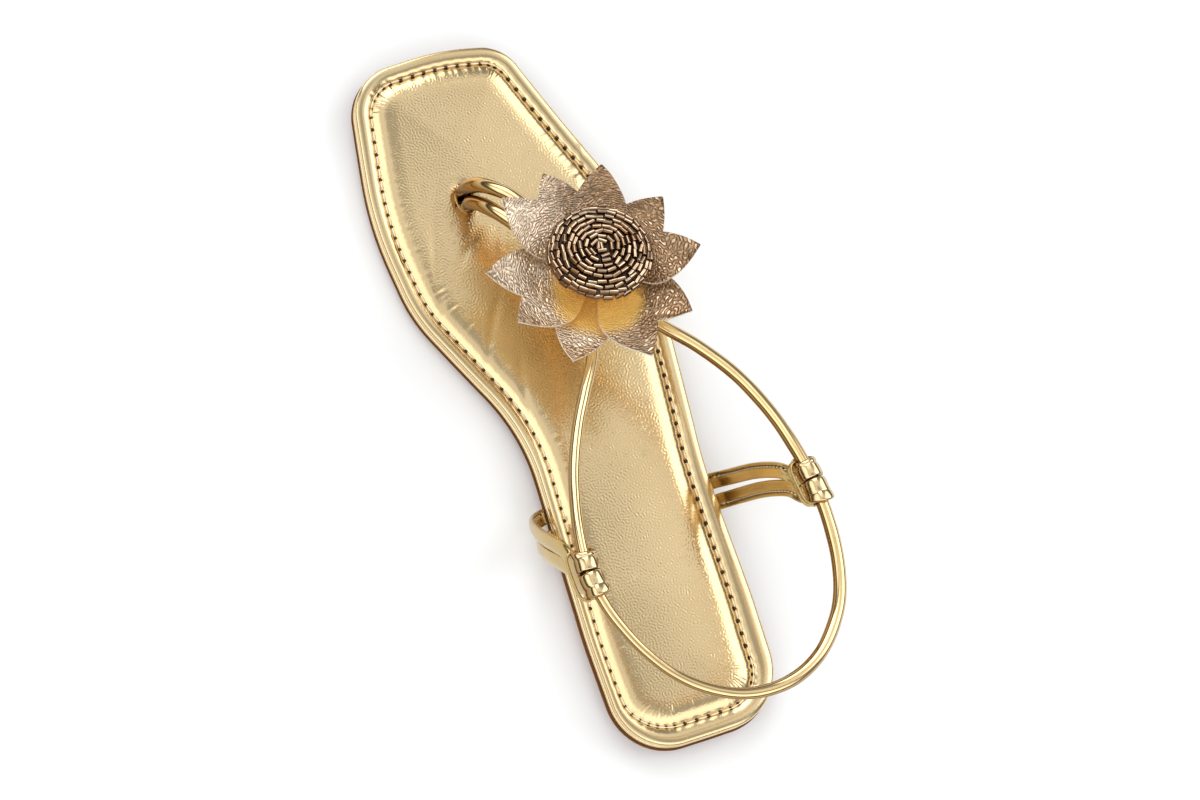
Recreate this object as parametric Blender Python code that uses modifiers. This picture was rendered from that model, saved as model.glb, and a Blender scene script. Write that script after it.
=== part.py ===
"""Flat thong sandal for the right foot, with a leather flower on its toe strap.

Metres, +Z up. +Y points to the toes and +X to the outer side, where the little toe is. The origin is on the
floor, under the middle of the heel's flat spot.
"""

import math

import bmesh
import bpy
import numpy as np
from mathutils import Matrix, Vector

# ----------------------------------------------------------------------------------------------------------
# Driving sizes
# ----------------------------------------------------------------------------------------------------------
GAP = 0.0003                    # left between two pieces that meet
SOLE_LENGTH = 0.2540            # outsole, back of the heel to the toe end
HEEL_SEAT = 0.0320              # from the back of the heel to the origin

# The outsole's outline from above: a polygon with a round corner in each row. "across" is from the heel's
# centre line and "station" is the distance from the back of the heel.
OUTLINE_COLUMNS = ("corner", "across", "station", "radius")
OUTLINE = (
    ("heel end", -0.0005, -0.0003, 0.110),
    ("heel, outer corner", 0.0280, -0.0010, 0.022),
    ("heel, outer side", 0.0305, 0.0395, 0.120),
    ("waist, outer side", 0.0315, 0.0885, 0.150),
    ("ball, outer side", 0.0430, 0.1695, 0.060),
    ("small toes", 0.0370, 0.1970, 0.090),
    ("toe, outer corner", 0.0165, 0.2500, 0.016),
    ("toe end", -0.0065, 0.2545, 0.090),
    ("toe, inner corner", -0.0405, 0.2530, 0.018),
    ("big toe", -0.0495, 0.2020, 0.130),
    ("ball, inner side", -0.0470, 0.1675, 0.055),
    ("waist, inner side", -0.0255, 0.1185, 0.070),
    ("heel, inner side", -0.0310, 0.0440, 0.200),
    ("heel, inner corner", -0.0315, 0.0010, 0.021),
)
TOE_ROW = 7                     # the row of the toe end, which with the first row splits the two sides
ARC_STEP = math.radians(4)
SIDE_STEPS = 46                 # stretches along each side of a sole piece
CORNER_WEIGHT = 0.014           # metres of side that a turn of one radian counts as, to crowd points there

# Side view of the sole, by station
HEEL_FLAT_END = 0.060
BALL_FLAT_START = 0.150
BALL_FLAT_END = 0.195
ARCH_LIFT = 0.0020
TOE_SPRING = 0.0055
OUTSOLE_HEEL = 0.0060           # thickness at the heel
OUTSOLE_FORE = 0.0028           # thickness from the waist to the toe
HEEL_FADE = (0.050, 0.120)      # stations between which the heel's extra thickness fades out
MIDSOLE = 0.0018
LEDGE_HEEL = 0.0016             # how far the outsole stands out beyond the midsole, at the heel
LEDGE_FORE = 0.0008             # and at the toe
LEDGE_FADE = (0.040, 0.160)

# Edge profiles, from the lowest ring to the highest. "inset" is from the piece's own outline.
EDGE_COLUMNS = ("ring", "inset", "share of the thickness")
OUTSOLE_EDGE = (
    ("tread edge", 0.0022, 0.00),
    ("lower side", 0.0008, 0.25),
    ("widest", 0.0000, 0.70),
    ("ledge", 0.0004, 1.00),
)
MIDSOLE_EDGE = (
    ("lower edge", 0.0004, 0.00),
    ("belly", 0.0000, 0.50),
    ("upper edge", 0.0004, 1.00),
)
FOOTBED_COLUMNS = ("ring", "inset", "height")
FOOTBED_EDGE = (
    ("rim foot", 0.0008, 0.0000),
    ("rim side", 0.0002, 0.0012),
    ("rim shoulder", 0.0008, 0.0028),
    ("rim crown", 0.0021, 0.0035),
    ("rim inside", 0.0034, 0.0033),
    ("stitched groove", 0.0042, 0.0027),
    ("bevel foot", 0.0058, 0.0030),
    ("bevel top", 0.0090, 0.0042),
    ("cushion edge", 0.0112, 0.0047),
)

# Cord of the upper: one length, from the rear leg of the toe post round the ankle to the front leg
CORD = 0.0042                   # diameter
CORD_SMOOTHING = 2              # stretches between two points of the route
CORD_ROUTE = (
    (-0.0155, 0.1669, 0.0034), (-0.0156, 0.1668, 0.0090), (-0.0159, 0.1656, 0.0165), (-0.0155, 0.1623, 0.0242),
    (-0.0138, 0.1572, 0.0304), (-0.0103, 0.1507, 0.0338), (-0.0056, 0.1418, 0.0364), (-0.0014, 0.1325, 0.0383),
    (0.0012, 0.1235, 0.0399), (0.0014, 0.1145, 0.0418), (-0.0008, 0.1052, 0.0434), (-0.0057, 0.0951, 0.0456),
    (-0.0126, 0.0855, 0.0482), (-0.0197, 0.0751, 0.0510), (-0.0264, 0.0630, 0.0541), (-0.0311, 0.0520, 0.0571),
    (-0.0348, 0.0405, 0.0601), (-0.0368, 0.0280, 0.0622), (-0.0359, 0.0168, 0.0635), (-0.0334, 0.0078, 0.0643),
    (-0.0295, -0.0013, 0.0649), (-0.0235, -0.0107, 0.0655), (-0.0155, -0.0183, 0.0659), (-0.0057, -0.0237, 0.0661),
    (0.0045, -0.0258, 0.0660), (0.0146, -0.0249, 0.0657), (0.0240, -0.0209, 0.0652), (0.0319, -0.0142, 0.0646),
    (0.0383, -0.0055, 0.0640), (0.0427, 0.0062, 0.0632), (0.0450, 0.0195, 0.0622), (0.0456, 0.0330, 0.0607),
    (0.0447, 0.0465, 0.0583), (0.0424, 0.0605, 0.0551), (0.0376, 0.0752, 0.0516), (0.0301, 0.0886, 0.0484),
    (0.0224, 0.0987, 0.0458), (0.0157, 0.1080, 0.0437), (0.0112, 0.1175, 0.0420), (0.0075, 0.1280, 0.0396),
    (0.0030, 0.1385, 0.0380), (-0.0024, 0.1495, 0.0370), (-0.0073, 0.1585, 0.0355), (-0.0114, 0.1636, 0.0330),
    (-0.0142, 0.1674, 0.0286), (-0.0155, 0.1697, 0.0225), (-0.0158, 0.1712, 0.0150), (-0.0155, 0.1715, 0.0034),
)
# The cord's diameter from one row of its route to another. It is drawn out thinner behind the inner knot.
GIRTH_COLUMNS = ("row", "diameter")
CORD_GIRTH = ((0, 0.0042), (11, 0.0040), (17, 0.0040), (19, 0.0034), (21, 0.0034), (25, 0.0042), (47, 0.0042))

# Toe-post hole, through the footbed and the midsole
POST_CENTRE = (-0.0155, 0.1692)
POST_HALF_WIDTH = 0.0026
POST_HALF_LENGTH = 0.0050

# Side straps: two legs from the sole's edge to a cow hitch round the cord
STRAP_WIDTH = 0.0052
STRAP_THICKNESS = 0.0016
STRAP_SPACING = 0.0076          # between the middles of the two legs at the sole
STRAP_GATHER = 0.0058           # and at the knot
STRAP_TAB = 0.0080              # length of each leg's end in the midsole's notch
STRAP_ENDS = (0.0062, 0.0034)   # distances from the cord's middle of the legs' last two places
STRAP_AHEAD = 0.0010            # how far towards the toes from the knot's middle the legs reach it
STRAP_ROUTES = {                # places of the middle between the two legs, outside the sole
    "keeper_lateral": (
        (0.0316, 0.0461, 0.0072), (0.0345, 0.0455, 0.0105), (0.0361, 0.0441, 0.0200),
        (0.0377, 0.0421, 0.0330), (0.0394, 0.0398, 0.0430), (0.0411, 0.0371, 0.0505),
    ),
    "keeper_medial": (
        (-0.0294, 0.0527, 0.0073), (-0.0334, 0.0515, 0.0122), (-0.0368, 0.0490, 0.0200),
        (-0.0389, 0.0460, 0.0290), (-0.0397, 0.0428, 0.0370), (-0.0396, 0.0392, 0.0450), (-0.0390, 0.0352, 0.0515),
    ),
}
HITCH_COLUMNS = ("name", "side of the shoe", "row of the cord's route", "place along the shoe at the sole's edge")
HITCHES = (
    ("keeper_lateral", 1, 31, 0.0462),
    ("keeper_medial", -1, 17, 0.0530),
)
WRAP_LENGTH = 0.0074            # along the cord
WRAP_SPACING = 0.0082
WRAP_THICKNESS = 0.0016
WRAP_ROUNDING = 0.0004
WRAP_STEPS = 16
BAR_WIDTH = 0.0036
BAR_COLUMNS = ("along the cord", "out from it", "below it")
BAR_LINE = (
    (-0.0074, 0.0033, 0.0013), (-0.0062, 0.0041, 0.0017), (-0.0035, 0.0045, 0.0021),
    (0.0035, 0.0045, 0.0021), (0.0062, 0.0041, 0.0017), (0.0074, 0.0033, 0.0013),
)

# Flower, in its own frame: the middle of the seat's top, with its axis along +Z
FLOWER_BASE = (0.0076, 0.1234, 0.0436)
FLOWER_LEAN_TOE = math.radians(10)
FLOWER_LEAN_INNER = math.radians(5)
SEAT_LENGTH = 0.0250            # oval pad on the cord under the flower
SEAT_WIDTH = 0.0190
SEAT_THICKNESS = 0.0042
SEAT_SHIFT = -0.0030            # across the flower's frame, to sit over both arms
PETAL_THICKNESS = 0.0012
PETAL_ROOT = 0.0078             # distance of a petal's root from the flower's axis
PETAL_CUP = 0.0006              # how far a petal's edges stand above its middle
PETAL_COLUMNS = ("share of the length", "half width")
PETAL_OUTLINE = (
    (0.00, 0.0038), (0.18, 0.0068), (0.38, 0.0092), (0.58, 0.0086), (0.76, 0.0060), (0.90, 0.0029), (1.00, 0.0003),
)
PETAL_ACROSS = 4                # stretches across a petal
RING_COLUMNS = ("name", "height of the root", "lift of the tip", "bearings", "reaches")
PETAL_RINGS = (
    ("petal_lower", 0.0009, 0.0045, (163, 96, 29, -49, -126), (0.0372, 0.0380, 0.0340, 0.0345, 0.0355)),
    ("petal_upper", 0.0033, 0.0075, (123, 66, -9, -86, -161), (0.0388, 0.0362, 0.0340, 0.0378, 0.0356)),
)
CUP_COLUMNS = ("radius", "height")
CUP_PROFILE = (
    (0.0000, 0.0003), (0.0066, 0.0003), (0.0066, 0.0052), (0.0128, 0.0062), (0.0138, 0.0069), (0.0145, 0.0094),
    (0.0156, 0.0122), (0.0162, 0.0136), (0.0000, 0.0136),
)
DISC_PROFILE = (
    (0.0000, 0.0139), (0.0162, 0.0139), (0.0168, 0.0148), (0.0160, 0.0160), (0.0112, 0.0168), (0.0056, 0.0172),
    (0.0000, 0.0173),
)
TURNED_STEPS = 32

# Finishes: colour, metallic, roughness
FINISHES = {
    "outsole_rubber": ((0.20, 0.075, 0.020), 0.0, 0.35),
    "gold_leather": ((0.74, 0.56, 0.30), 0.9, 0.30),
    "gold_cord": ((0.78, 0.58, 0.30), 0.9, 0.22),
    "petal_leather": ((0.56, 0.42, 0.32), 0.7, 0.42),
    "bronze_beads": ((0.42, 0.29, 0.17), 0.9, 0.20),
}


# ----------------------------------------------------------------------------------------------------------
# Scene helpers
# ----------------------------------------------------------------------------------------------------------
def clear_scene():
    for old in list(bpy.data.objects):
        bpy.data.objects.remove(old, do_unlink=True)


def make_collection(name):
    collection = bpy.data.collections.new(name)
    bpy.context.scene.collection.children.link(collection)
    return collection


def make_material(finish, name):
    colour, metallic, roughness = FINISHES[finish]
    material = bpy.data.materials.new(name)
    material.use_nodes = True
    shader = material.node_tree.nodes["Principled BSDF"]
    shader.inputs["Base Color"].default_value = (*colour, 1.0)
    shader.inputs["Metallic"].default_value = metallic
    shader.inputs["Roughness"].default_value = roughness
    return material


def add_part(name, mesh, finish, smooth_below=math.radians(35)):
    """A visible sub-part with its own material, smooth where its faces meet at a small angle."""
    part = bpy.data.objects.new(name, mesh)
    mesh.materials.append(make_material(finish, name))
    mesh.shade_smooth()
    mesh.set_sharp_from_angle(angle=smooth_below)
    sandal.objects.link(part)
    return part


def add_tool(name, mesh):
    """A cutter or a piece to be joined: drawn as wire and left out of the model."""
    tool = bpy.data.objects.new(name, mesh)
    tool.hide_render = True
    tool.display_type = "WIRE"
    tools.objects.link(tool)
    return tool


def boolean(part, tool, operation):
    modifier = part.modifiers.new(f"{operation.lower()} {tool.name}", "BOOLEAN")
    modifier.operation = operation
    modifier.object = tool


def turn_about_z(part, steps):
    """A full turn of a profile drawn at +X, from its lowest point up."""
    turn = part.modifiers.new("turned", "SCREW")
    turn.angle = math.tau
    turn.steps = steps
    turn.render_steps = steps
    turn.screw_offset = 0
    turn.use_merge_vertices = True
    turn.merge_threshold = 0.00001
    turn.use_normal_flip = True


def mesh_from_faces(name, points, faces):
    mesh = bpy.data.meshes.new(name)
    mesh.from_pydata([tuple(point) for point in points], [], faces)
    builder = bmesh.new()
    builder.from_mesh(mesh)
    bmesh.ops.recalc_face_normals(builder, faces=builder.faces)
    builder.to_mesh(mesh)
    builder.free()
    return mesh


# ----------------------------------------------------------------------------------------------------------
# Outline of the sole
# ----------------------------------------------------------------------------------------------------------
def unit(vector):
    return vector / np.linalg.norm(vector)


def corner_arc(before, corner, after, radius):
    """Points of the arc with this radius that touches both legs of a corner. Its middle is one of them."""
    back = unit(before - corner)
    ahead = unit(after - corner)
    half = math.acos(back @ ahead) / 2
    centre = corner + unit(back + ahead) * radius / math.sin(half)
    start = corner + back * radius / math.tan(half) - centre
    end = corner + ahead * radius / math.tan(half) - centre
    angle = math.pi - 2 * half
    steps = 2 * max(1, math.ceil(angle / ARC_STEP / 2))
    share = np.linspace(0, 1, steps + 1)[:, None]
    return centre + (np.sin((1 - share) * angle) * start + np.sin(share * angle) * end) / math.sin(angle)


def spread(points, steps):
    """The same line with evenly spread points, closer together where it turns."""
    stretches = np.diff(points, axis=0)
    lengths = np.linalg.norm(stretches, axis=1)
    bearings = np.unwrap(np.arctan2(stretches[:, 1], stretches[:, 0]))
    turns = np.abs(np.diff(bearings))
    weights = lengths.copy()
    weights[:-1] += CORNER_WEIGHT * turns / 2
    weights[1:] += CORNER_WEIGHT * turns / 2
    along = np.concatenate(([0], np.cumsum(weights)))
    wanted = np.linspace(0, along[-1], steps + 1)
    return np.stack([np.interp(wanted, along, points[:, axis]) for axis in (0, 1)], axis=1)


def sole_outline():
    """The outsole's outline from the heel end up the outer side to the toe end and back down the inner side."""
    corners = [np.array((across, station - HEEL_SEAT)) for _, across, station, _ in OUTLINE]
    count = len(corners)
    arcs = [
        corner_arc(corners[index - 1], corners[index], corners[(index + 1) % count], OUTLINE[index][3])
        for index in range(count)
    ]
    heel_middle = len(arcs[0]) // 2
    toe_middle = len(arcs[TOE_ROW]) // 2
    outer = np.vstack([arcs[0][heel_middle:], *arcs[1:TOE_ROW], arcs[TOE_ROW][:toe_middle + 1]])
    inner = np.vstack([arcs[TOE_ROW][toe_middle:], *arcs[TOE_ROW + 1:], arcs[0][:heel_middle + 1]])
    return np.vstack([spread(outer, SIDE_STEPS)[:-1], spread(inner, SIDE_STEPS)[:-1]])


def outward(outline):
    """Outward unit normals of a closed outline that runs anticlockwise."""
    tangent = np.roll(outline, -1, axis=0) - np.roll(outline, 1, axis=0)
    normal = np.stack([tangent[:, 1], -tangent[:, 0]], axis=1)
    return normal / np.linalg.norm(normal, axis=1)[:, None]


def inset(outline, distance):
    return outline - outward(outline) * np.reshape(distance, (-1, 1))


# ----------------------------------------------------------------------------------------------------------
# Side view of the sole: heights by place along the shoe
# ----------------------------------------------------------------------------------------------------------
def ease(share):
    share = np.clip(share, 0, 1)
    return share * share * (3 - 2 * share)


def underside(y):
    """Height of the outsole's underside: flat heel, shallow arch, flat ball, toe spring."""
    station = y + HEEL_SEAT
    arch = np.clip((station - HEEL_FLAT_END) / (BALL_FLAT_START - HEEL_FLAT_END), 0, 1)
    toe = np.clip((station - BALL_FLAT_END) / (SOLE_LENGTH - BALL_FLAT_END), 0, 1)
    return ARCH_LIFT * np.sin(math.pi * arch) ** 2 + TOE_SPRING * toe ** 2


def outsole_thickness(y):
    fade = ease((y + HEEL_SEAT - HEEL_FADE[0]) / (HEEL_FADE[1] - HEEL_FADE[0]))
    return OUTSOLE_HEEL + (OUTSOLE_FORE - OUTSOLE_HEEL) * fade


def ledge(y):
    fade = ease((y + HEEL_SEAT - LEDGE_FADE[0]) / (LEDGE_FADE[1] - LEDGE_FADE[0]))
    return LEDGE_HEEL + (LEDGE_FORE - LEDGE_HEEL) * fade


def outsole_top(y):
    return underside(y) + outsole_thickness(y)


def midsole_base(y):
    return outsole_top(y) + GAP


def footbed_base(y):
    return midsole_base(y) + MIDSOLE + GAP


# ----------------------------------------------------------------------------------------------------------
# Sole pieces: rings stacked from below, closed with bands across the shoe
# ----------------------------------------------------------------------------------------------------------
def stacked_rings(name, rings):
    """A closed body through rings of as many points each. Its ends are bands from one side to the other."""
    count = len(rings[0])
    side = count // 2
    faces = []
    for level in range(len(rings) - 1):
        low = level * count
        for index in range(count):
            after = (index + 1) % count
            faces.append((low + index, low + after, low + count + after, low + count + index))
    for low in (0, (len(rings) - 1) * count):
        faces.append((low, low + 1, low + count - 1))
        for index in range(1, side - 1):
            faces.append((low + index, low + index + 1, low + count - index - 1, low + count - index))
        faces.append((low + side - 1, low + side, low + side + 1))
    return mesh_from_faces(name, np.vstack(rings), faces)


def ring_at(outline, height):
    return np.column_stack([outline, height])


def make_outsole(outline):
    rings = []
    for _, distance, share in OUTSOLE_EDGE:
        ring = inset(outline, distance)
        rings.append(ring_at(ring, underside(ring[:, 1]) + share * outsole_thickness(ring[:, 1])))
    return add_part("outsole", stacked_rings("outsole", rings), "outsole_rubber")


def make_midsole(outline):
    edge = inset(outline, ledge(outline[:, 1]))
    rings = []
    for _, distance, share in MIDSOLE_EDGE:
        ring = inset(edge, distance)
        rings.append(ring_at(ring, midsole_base(ring[:, 1]) + share * MIDSOLE))
    midsole = add_part("midsole", stacked_rings("midsole", rings), "gold_leather")
    boolean(midsole, post_cutter, "DIFFERENCE")
    for name, side, _, place in HITCHES:
        reach = edge_across(outline, side, place)
        half_length = (STRAP_SPACING + STRAP_WIDTH) / 2 + GAP
        inner_corner = (reach - side * (STRAP_TAB + 2 * GAP), place - half_length, 0.0)
        outer_corner = (reach + side * STRAP_TAB, place + half_length, 0.015)
        notch = add_tool(f"notch for {name}", box_mesh(f"notch for {name}", inner_corner, outer_corner))
        boolean(midsole, notch, "DIFFERENCE")
    return midsole


def make_footbed(outline):
    edge = inset(outline, ledge(outline[:, 1]))
    rings = []
    for _, distance, height in FOOTBED_EDGE:
        ring = inset(edge, distance)
        rings.append(ring_at(ring, footbed_base(ring[:, 1]) + height))
    footbed = add_part("footbed", stacked_rings("footbed", rings), "gold_leather")
    boolean(footbed, post_cutter, "DIFFERENCE")
    return footbed


def edge_across(outline, side, place):
    """Place across the shoe of the midsole's edge on one side, at a place along it."""
    edge = inset(outline, ledge(outline[:, 1]))
    chosen = edge[np.sign(edge[:, 0]) == side]
    order = np.argsort(chosen[:, 1])
    return float(np.interp(place, chosen[order, 1], chosen[order, 0]))


def box_mesh(name, one_corner, far_corner):
    one_corner, far_corner = Vector(one_corner), Vector(far_corner)
    size = [abs(extent) for extent in far_corner - one_corner]
    place = Matrix.Translation((one_corner + far_corner) / 2) @ Matrix.Diagonal((*size, 1))
    mesh = bpy.data.meshes.new(name)
    builder = bmesh.new()
    bmesh.ops.create_cube(builder, size=1, matrix=place)
    builder.to_mesh(mesh)
    builder.free()
    return mesh


def make_post_cutter():
    """An upright oval bar with round ends, taller than the footbed and the midsole together."""
    mesh = bpy.data.meshes.new("toe post hole")
    builder = bmesh.new()
    turn = [math.tau * step / TURNED_STEPS for step in range(TURNED_STEPS)]
    straight = POST_HALF_LENGTH - POST_HALF_WIDTH
    outline = [
        builder.verts.new((
            POST_CENTRE[0] + POST_HALF_WIDTH * math.cos(angle),
            POST_CENTRE[1] + POST_HALF_WIDTH * math.sin(angle) + math.copysign(straight, math.sin(angle)),
            0.0,
        ))
        for angle in turn
    ]
    base = builder.faces.new(outline)
    wall = bmesh.ops.extrude_face_region(builder, geom=[base])
    top = [item for item in wall["geom"] if isinstance(item, bmesh.types.BMVert)]
    bmesh.ops.translate(builder, verts=top, vec=(0, 0, 0.03))
    bmesh.ops.recalc_face_normals(builder, faces=builder.faces)
    builder.to_mesh(mesh)
    builder.free()
    return add_tool("toe post hole", mesh)


# ----------------------------------------------------------------------------------------------------------
# Cord of the upper
# ----------------------------------------------------------------------------------------------------------
def smooth_route(points, steps):
    """Points along the Catmull-Rom curve through the route, with this many stretches between two of them."""
    points = [Vector(point) for point in points]
    padded = [2 * points[0] - points[1], *points, 2 * points[-1] - points[-2]]
    line = []
    for before, here, after, beyond in zip(padded, padded[1:], padded[2:], padded[3:]):
        for step in range(steps):
            share = step / steps
            slope_here = (after - before) / 2
            slope_after = (beyond - here) / 2
            line.append(
                (1 + 2 * share) * (1 - share) ** 2 * here
                + share * (1 - share) ** 2 * slope_here
                + share ** 2 * (3 - 2 * share) * after
                + share ** 2 * (share - 1) * slope_after
            )
    line.append(points[-1])
    return line


def tube_mesh(name, line, diameters):
    """A round tube with filled caps along a line, as a closed mesh."""
    curve = bpy.data.curves.new(name, "CURVE")
    curve.dimensions = "3D"
    curve.bevel_depth = 1
    curve.bevel_resolution = 3
    curve.use_fill_caps = True
    spline = curve.splines.new("POLY")
    spline.points.add(len(line) - 1)
    for point, place, diameter in zip(spline.points, line, diameters):
        point.co = (*place, 1)
        point.radius = diameter / 2
    holder = bpy.data.objects.new(name, curve)
    bpy.context.scene.collection.objects.link(holder)
    evaluated = holder.evaluated_get(bpy.context.evaluated_depsgraph_get())
    mesh = bpy.data.meshes.new_from_object(evaluated)
    bpy.data.objects.remove(holder, do_unlink=True)
    builder = bmesh.new()
    builder.from_mesh(mesh)
    bmesh.ops.remove_doubles(builder, verts=builder.verts, dist=0.00001)
    bmesh.ops.recalc_face_normals(builder, faces=builder.faces)
    builder.to_mesh(mesh)
    builder.free()
    return mesh


def cord_at(row, distance):
    """Place and direction of the cord this far along from a row of its route."""
    line = np.array(smooth_route(CORD_ROUTE, CORD_SMOOTHING))
    along = np.concatenate(([0], np.cumsum(np.linalg.norm(np.diff(line, axis=0), axis=1))))
    wanted = along[row * CORD_SMOOTHING] + distance
    behind, here, ahead = (
        Vector([float(np.interp(wanted + step, along, line[:, axis])) for axis in range(3)])
        for step in (-WRAP_LENGTH / 2, 0, WRAP_LENGTH / 2)
    )
    return here.lerp((behind + ahead) / 2, 0.5), (ahead - behind).normalized()


def flower_frame():
    """From the flower's own frame to the shoe's: leans to the toes and a little to the inner side."""
    lean = Matrix.Rotation(-FLOWER_LEAN_TOE, 4, "X") @ Matrix.Rotation(-FLOWER_LEAN_INNER, 4, "Y")
    return Matrix.Translation(FLOWER_BASE) @ lean


def make_upper():
    line = smooth_route(CORD_ROUTE, CORD_SMOOTHING)
    rows = np.arange(len(line)) / CORD_SMOOTHING
    girth = np.interp(rows, *zip(*CORD_GIRTH))
    upper = add_part("cord_upper", tube_mesh("cord_upper", line, girth), "gold_cord", math.radians(60))
    seat_mesh = bpy.data.meshes.new("flower seat")
    builder = bmesh.new()
    shape = Matrix.Translation((SEAT_SHIFT, 0, -SEAT_THICKNESS / 2)) @ Matrix.Diagonal((SEAT_WIDTH, SEAT_LENGTH, 1, 1))
    bmesh.ops.create_cone(
        builder, cap_ends=True, segments=TURNED_STEPS, radius1=0.5, radius2=0.5, depth=SEAT_THICKNESS, matrix=shape,
    )
    builder.to_mesh(seat_mesh)
    builder.free()
    seat = add_tool("flower seat", seat_mesh)
    seat.matrix_world = flower_frame()
    boolean(upper, seat, "UNION")
    return upper


# ----------------------------------------------------------------------------------------------------------
# Side straps with their hitches
# ----------------------------------------------------------------------------------------------------------
def ribbon_mesh(name, line, sideways, width):
    """A flat strip along a line. Its width points as near to one direction as lies square to the line."""
    points = []
    for index, place in enumerate(line):
        along = (line[min(index + 1, len(line) - 1)] - line[max(index - 1, 0)]).normalized()
        across = (sideways - along * sideways.dot(along)).normalized()
        points += [place - across * width / 2, place + across * width / 2]
    faces = [(2 * row, 2 * row + 1, 2 * row + 3, 2 * row + 2) for row in range(len(line) - 1)]
    mesh = bpy.data.meshes.new(name)
    mesh.from_pydata([tuple(point) for point in points], [], faces)
    return mesh


def thicken(part, thickness):
    solid = part.modifiers.new("leather thickness", "SOLIDIFY")
    solid.thickness = thickness
    solid.offset = 0


def make_wrap(name, centre, along):
    """A sleeve round the cord: its profile turned about the cord's line."""
    inside = CORD / 2 + GAP
    outside = inside + WRAP_THICKNESS
    half = WRAP_LENGTH / 2
    profile = (
        (inside, -half), (outside - WRAP_ROUNDING, -half), (outside, WRAP_ROUNDING - half),
        (outside, half - WRAP_ROUNDING), (outside - WRAP_ROUNDING, half), (inside, half),
    )
    mesh = bpy.data.meshes.new(name)
    edges = [(index, (index + 1) % len(profile)) for index in range(len(profile))]
    mesh.from_pydata([(radius, 0, height) for radius, height in profile], edges, [])
    sleeve = add_tool(name, mesh)
    sleeve.matrix_world = Matrix.Translation(centre) @ along.to_track_quat("Z", "X").to_matrix().to_4x4()
    turn_about_z(sleeve, WRAP_STEPS)
    return sleeve


def make_keeper(outline, name, side, row, place):
    """Two legs from the notch in the midsole up to the cord, two wraps round it, and the bar over the legs."""
    knot, along = cord_at(row, 0)
    if along.y > 0:
        along = -along
    edge = edge_across(outline, side, place)
    level = float(midsole_base(place)) + MIDSOLE / 2
    shoe_axis = Vector((0, 1, 0))
    start = Vector((edge, place, level))
    route = [start - Vector((side * STRAP_TAB * share, 0, 0)) for share in (1, 0.5, 0)]
    route += [Vector(point) for point in STRAP_ROUTES[name]]
    approach = knot - route[-1]
    approach = (approach - along * approach.dot(along)).normalized()
    route += [knot - along * STRAP_AHEAD - approach * distance for distance in STRAP_ENDS]
    middle = smooth_route(route, 2)
    keeper = None
    for number, direction in enumerate((-1, 1)):
        leg_line = []
        for index, point in enumerate(middle):
            share = index / (len(middle) - 1)
            spacing = STRAP_SPACING + (STRAP_GATHER - STRAP_SPACING) * share
            sideways = shoe_axis.lerp(-along, ease(share))
            leg_line.append(point + direction * sideways.normalized() * spacing / 2)
        leg_mesh = ribbon_mesh(f"{name} leg {number + 1}", leg_line, shoe_axis, STRAP_WIDTH)
        if keeper is None:
            keeper = add_part(name, leg_mesh, "gold_leather")
            leg = keeper
        else:
            leg = add_tool(f"{name} leg {number + 1}", leg_mesh)
        thicken(leg, STRAP_THICKNESS)
        wrap = make_wrap(f"{name} wrap {number + 1}", *cord_at(row, side * direction * WRAP_SPACING / 2))
        boolean(keeper, wrap, "UNION")
        if leg is not keeper:
            boolean(keeper, leg, "UNION")
    boolean(keeper, make_bar(name, row, approach), "UNION")
    return keeper


def make_bar(name, row, approach):
    """The strap's fold, which lies over both legs just below the wraps, on the side that faces inwards."""
    below = -approach
    line = []
    for distance, out, down in BAR_LINE:
        centre, along = cord_at(row, distance)
        face = along.cross(below).normalized()
        if face.x > 0:
            face = -face
        line.append(centre + face * out + below * down)
    bar = add_tool(f"{name} bar", ribbon_mesh(f"{name} bar", line, below, BAR_WIDTH))
    thicken(bar, STRAP_THICKNESS)
    return bar


# ----------------------------------------------------------------------------------------------------------
# Flower
# ----------------------------------------------------------------------------------------------------------
def petal_mesh(name, root_height, lift, reach):
    """A petal along +X: height rises with the square of the distance, and the edges stand a little higher."""
    points = []
    for share, half_width in PETAL_OUTLINE:
        distance = PETAL_ROOT + (reach - PETAL_ROOT) * share
        for step in range(PETAL_ACROSS + 1):
            across = 2 * step / PETAL_ACROSS - 1
            height = root_height + lift * (distance / reach) ** 2 + PETAL_CUP * across ** 2
            points.append((distance, across * half_width, height))
    row = PETAL_ACROSS + 1
    faces = [
        (low + step, low + step + row, low + step + row + 1, low + step + 1)
        for low in range(0, row * (len(PETAL_OUTLINE) - 1), row)
        for step in range(PETAL_ACROSS)
    ]
    mesh = bpy.data.meshes.new(name)
    mesh.from_pydata(points, [], faces)
    return mesh


def make_petals():
    for name, root_height, lift, bearings, reaches in PETAL_RINGS:
        for number, (bearing, reach) in enumerate(zip(bearings, reaches), start=1):
            mesh = petal_mesh(f"{name}_{number}", root_height, lift, reach)
            petal = add_part(f"{name}_{number}", mesh, "petal_leather")
            petal.matrix_world = flower_frame() @ Matrix.Rotation(math.radians(bearing), 4, "Z")
            thicken(petal, PETAL_THICKNESS)


def make_turned(name, profile, finish):
    """A solid turned about the flower's axis from its profile, bottom to top at +X."""
    mesh = bpy.data.meshes.new(name)
    edges = [(index, index + 1) for index in range(len(profile) - 1)]
    mesh.from_pydata([(radius, 0, height) for radius, height in profile], edges, [])
    part = add_part(name, mesh, finish)
    part.matrix_world = flower_frame()
    turn_about_z(part, TURNED_STEPS)
    return part


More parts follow.
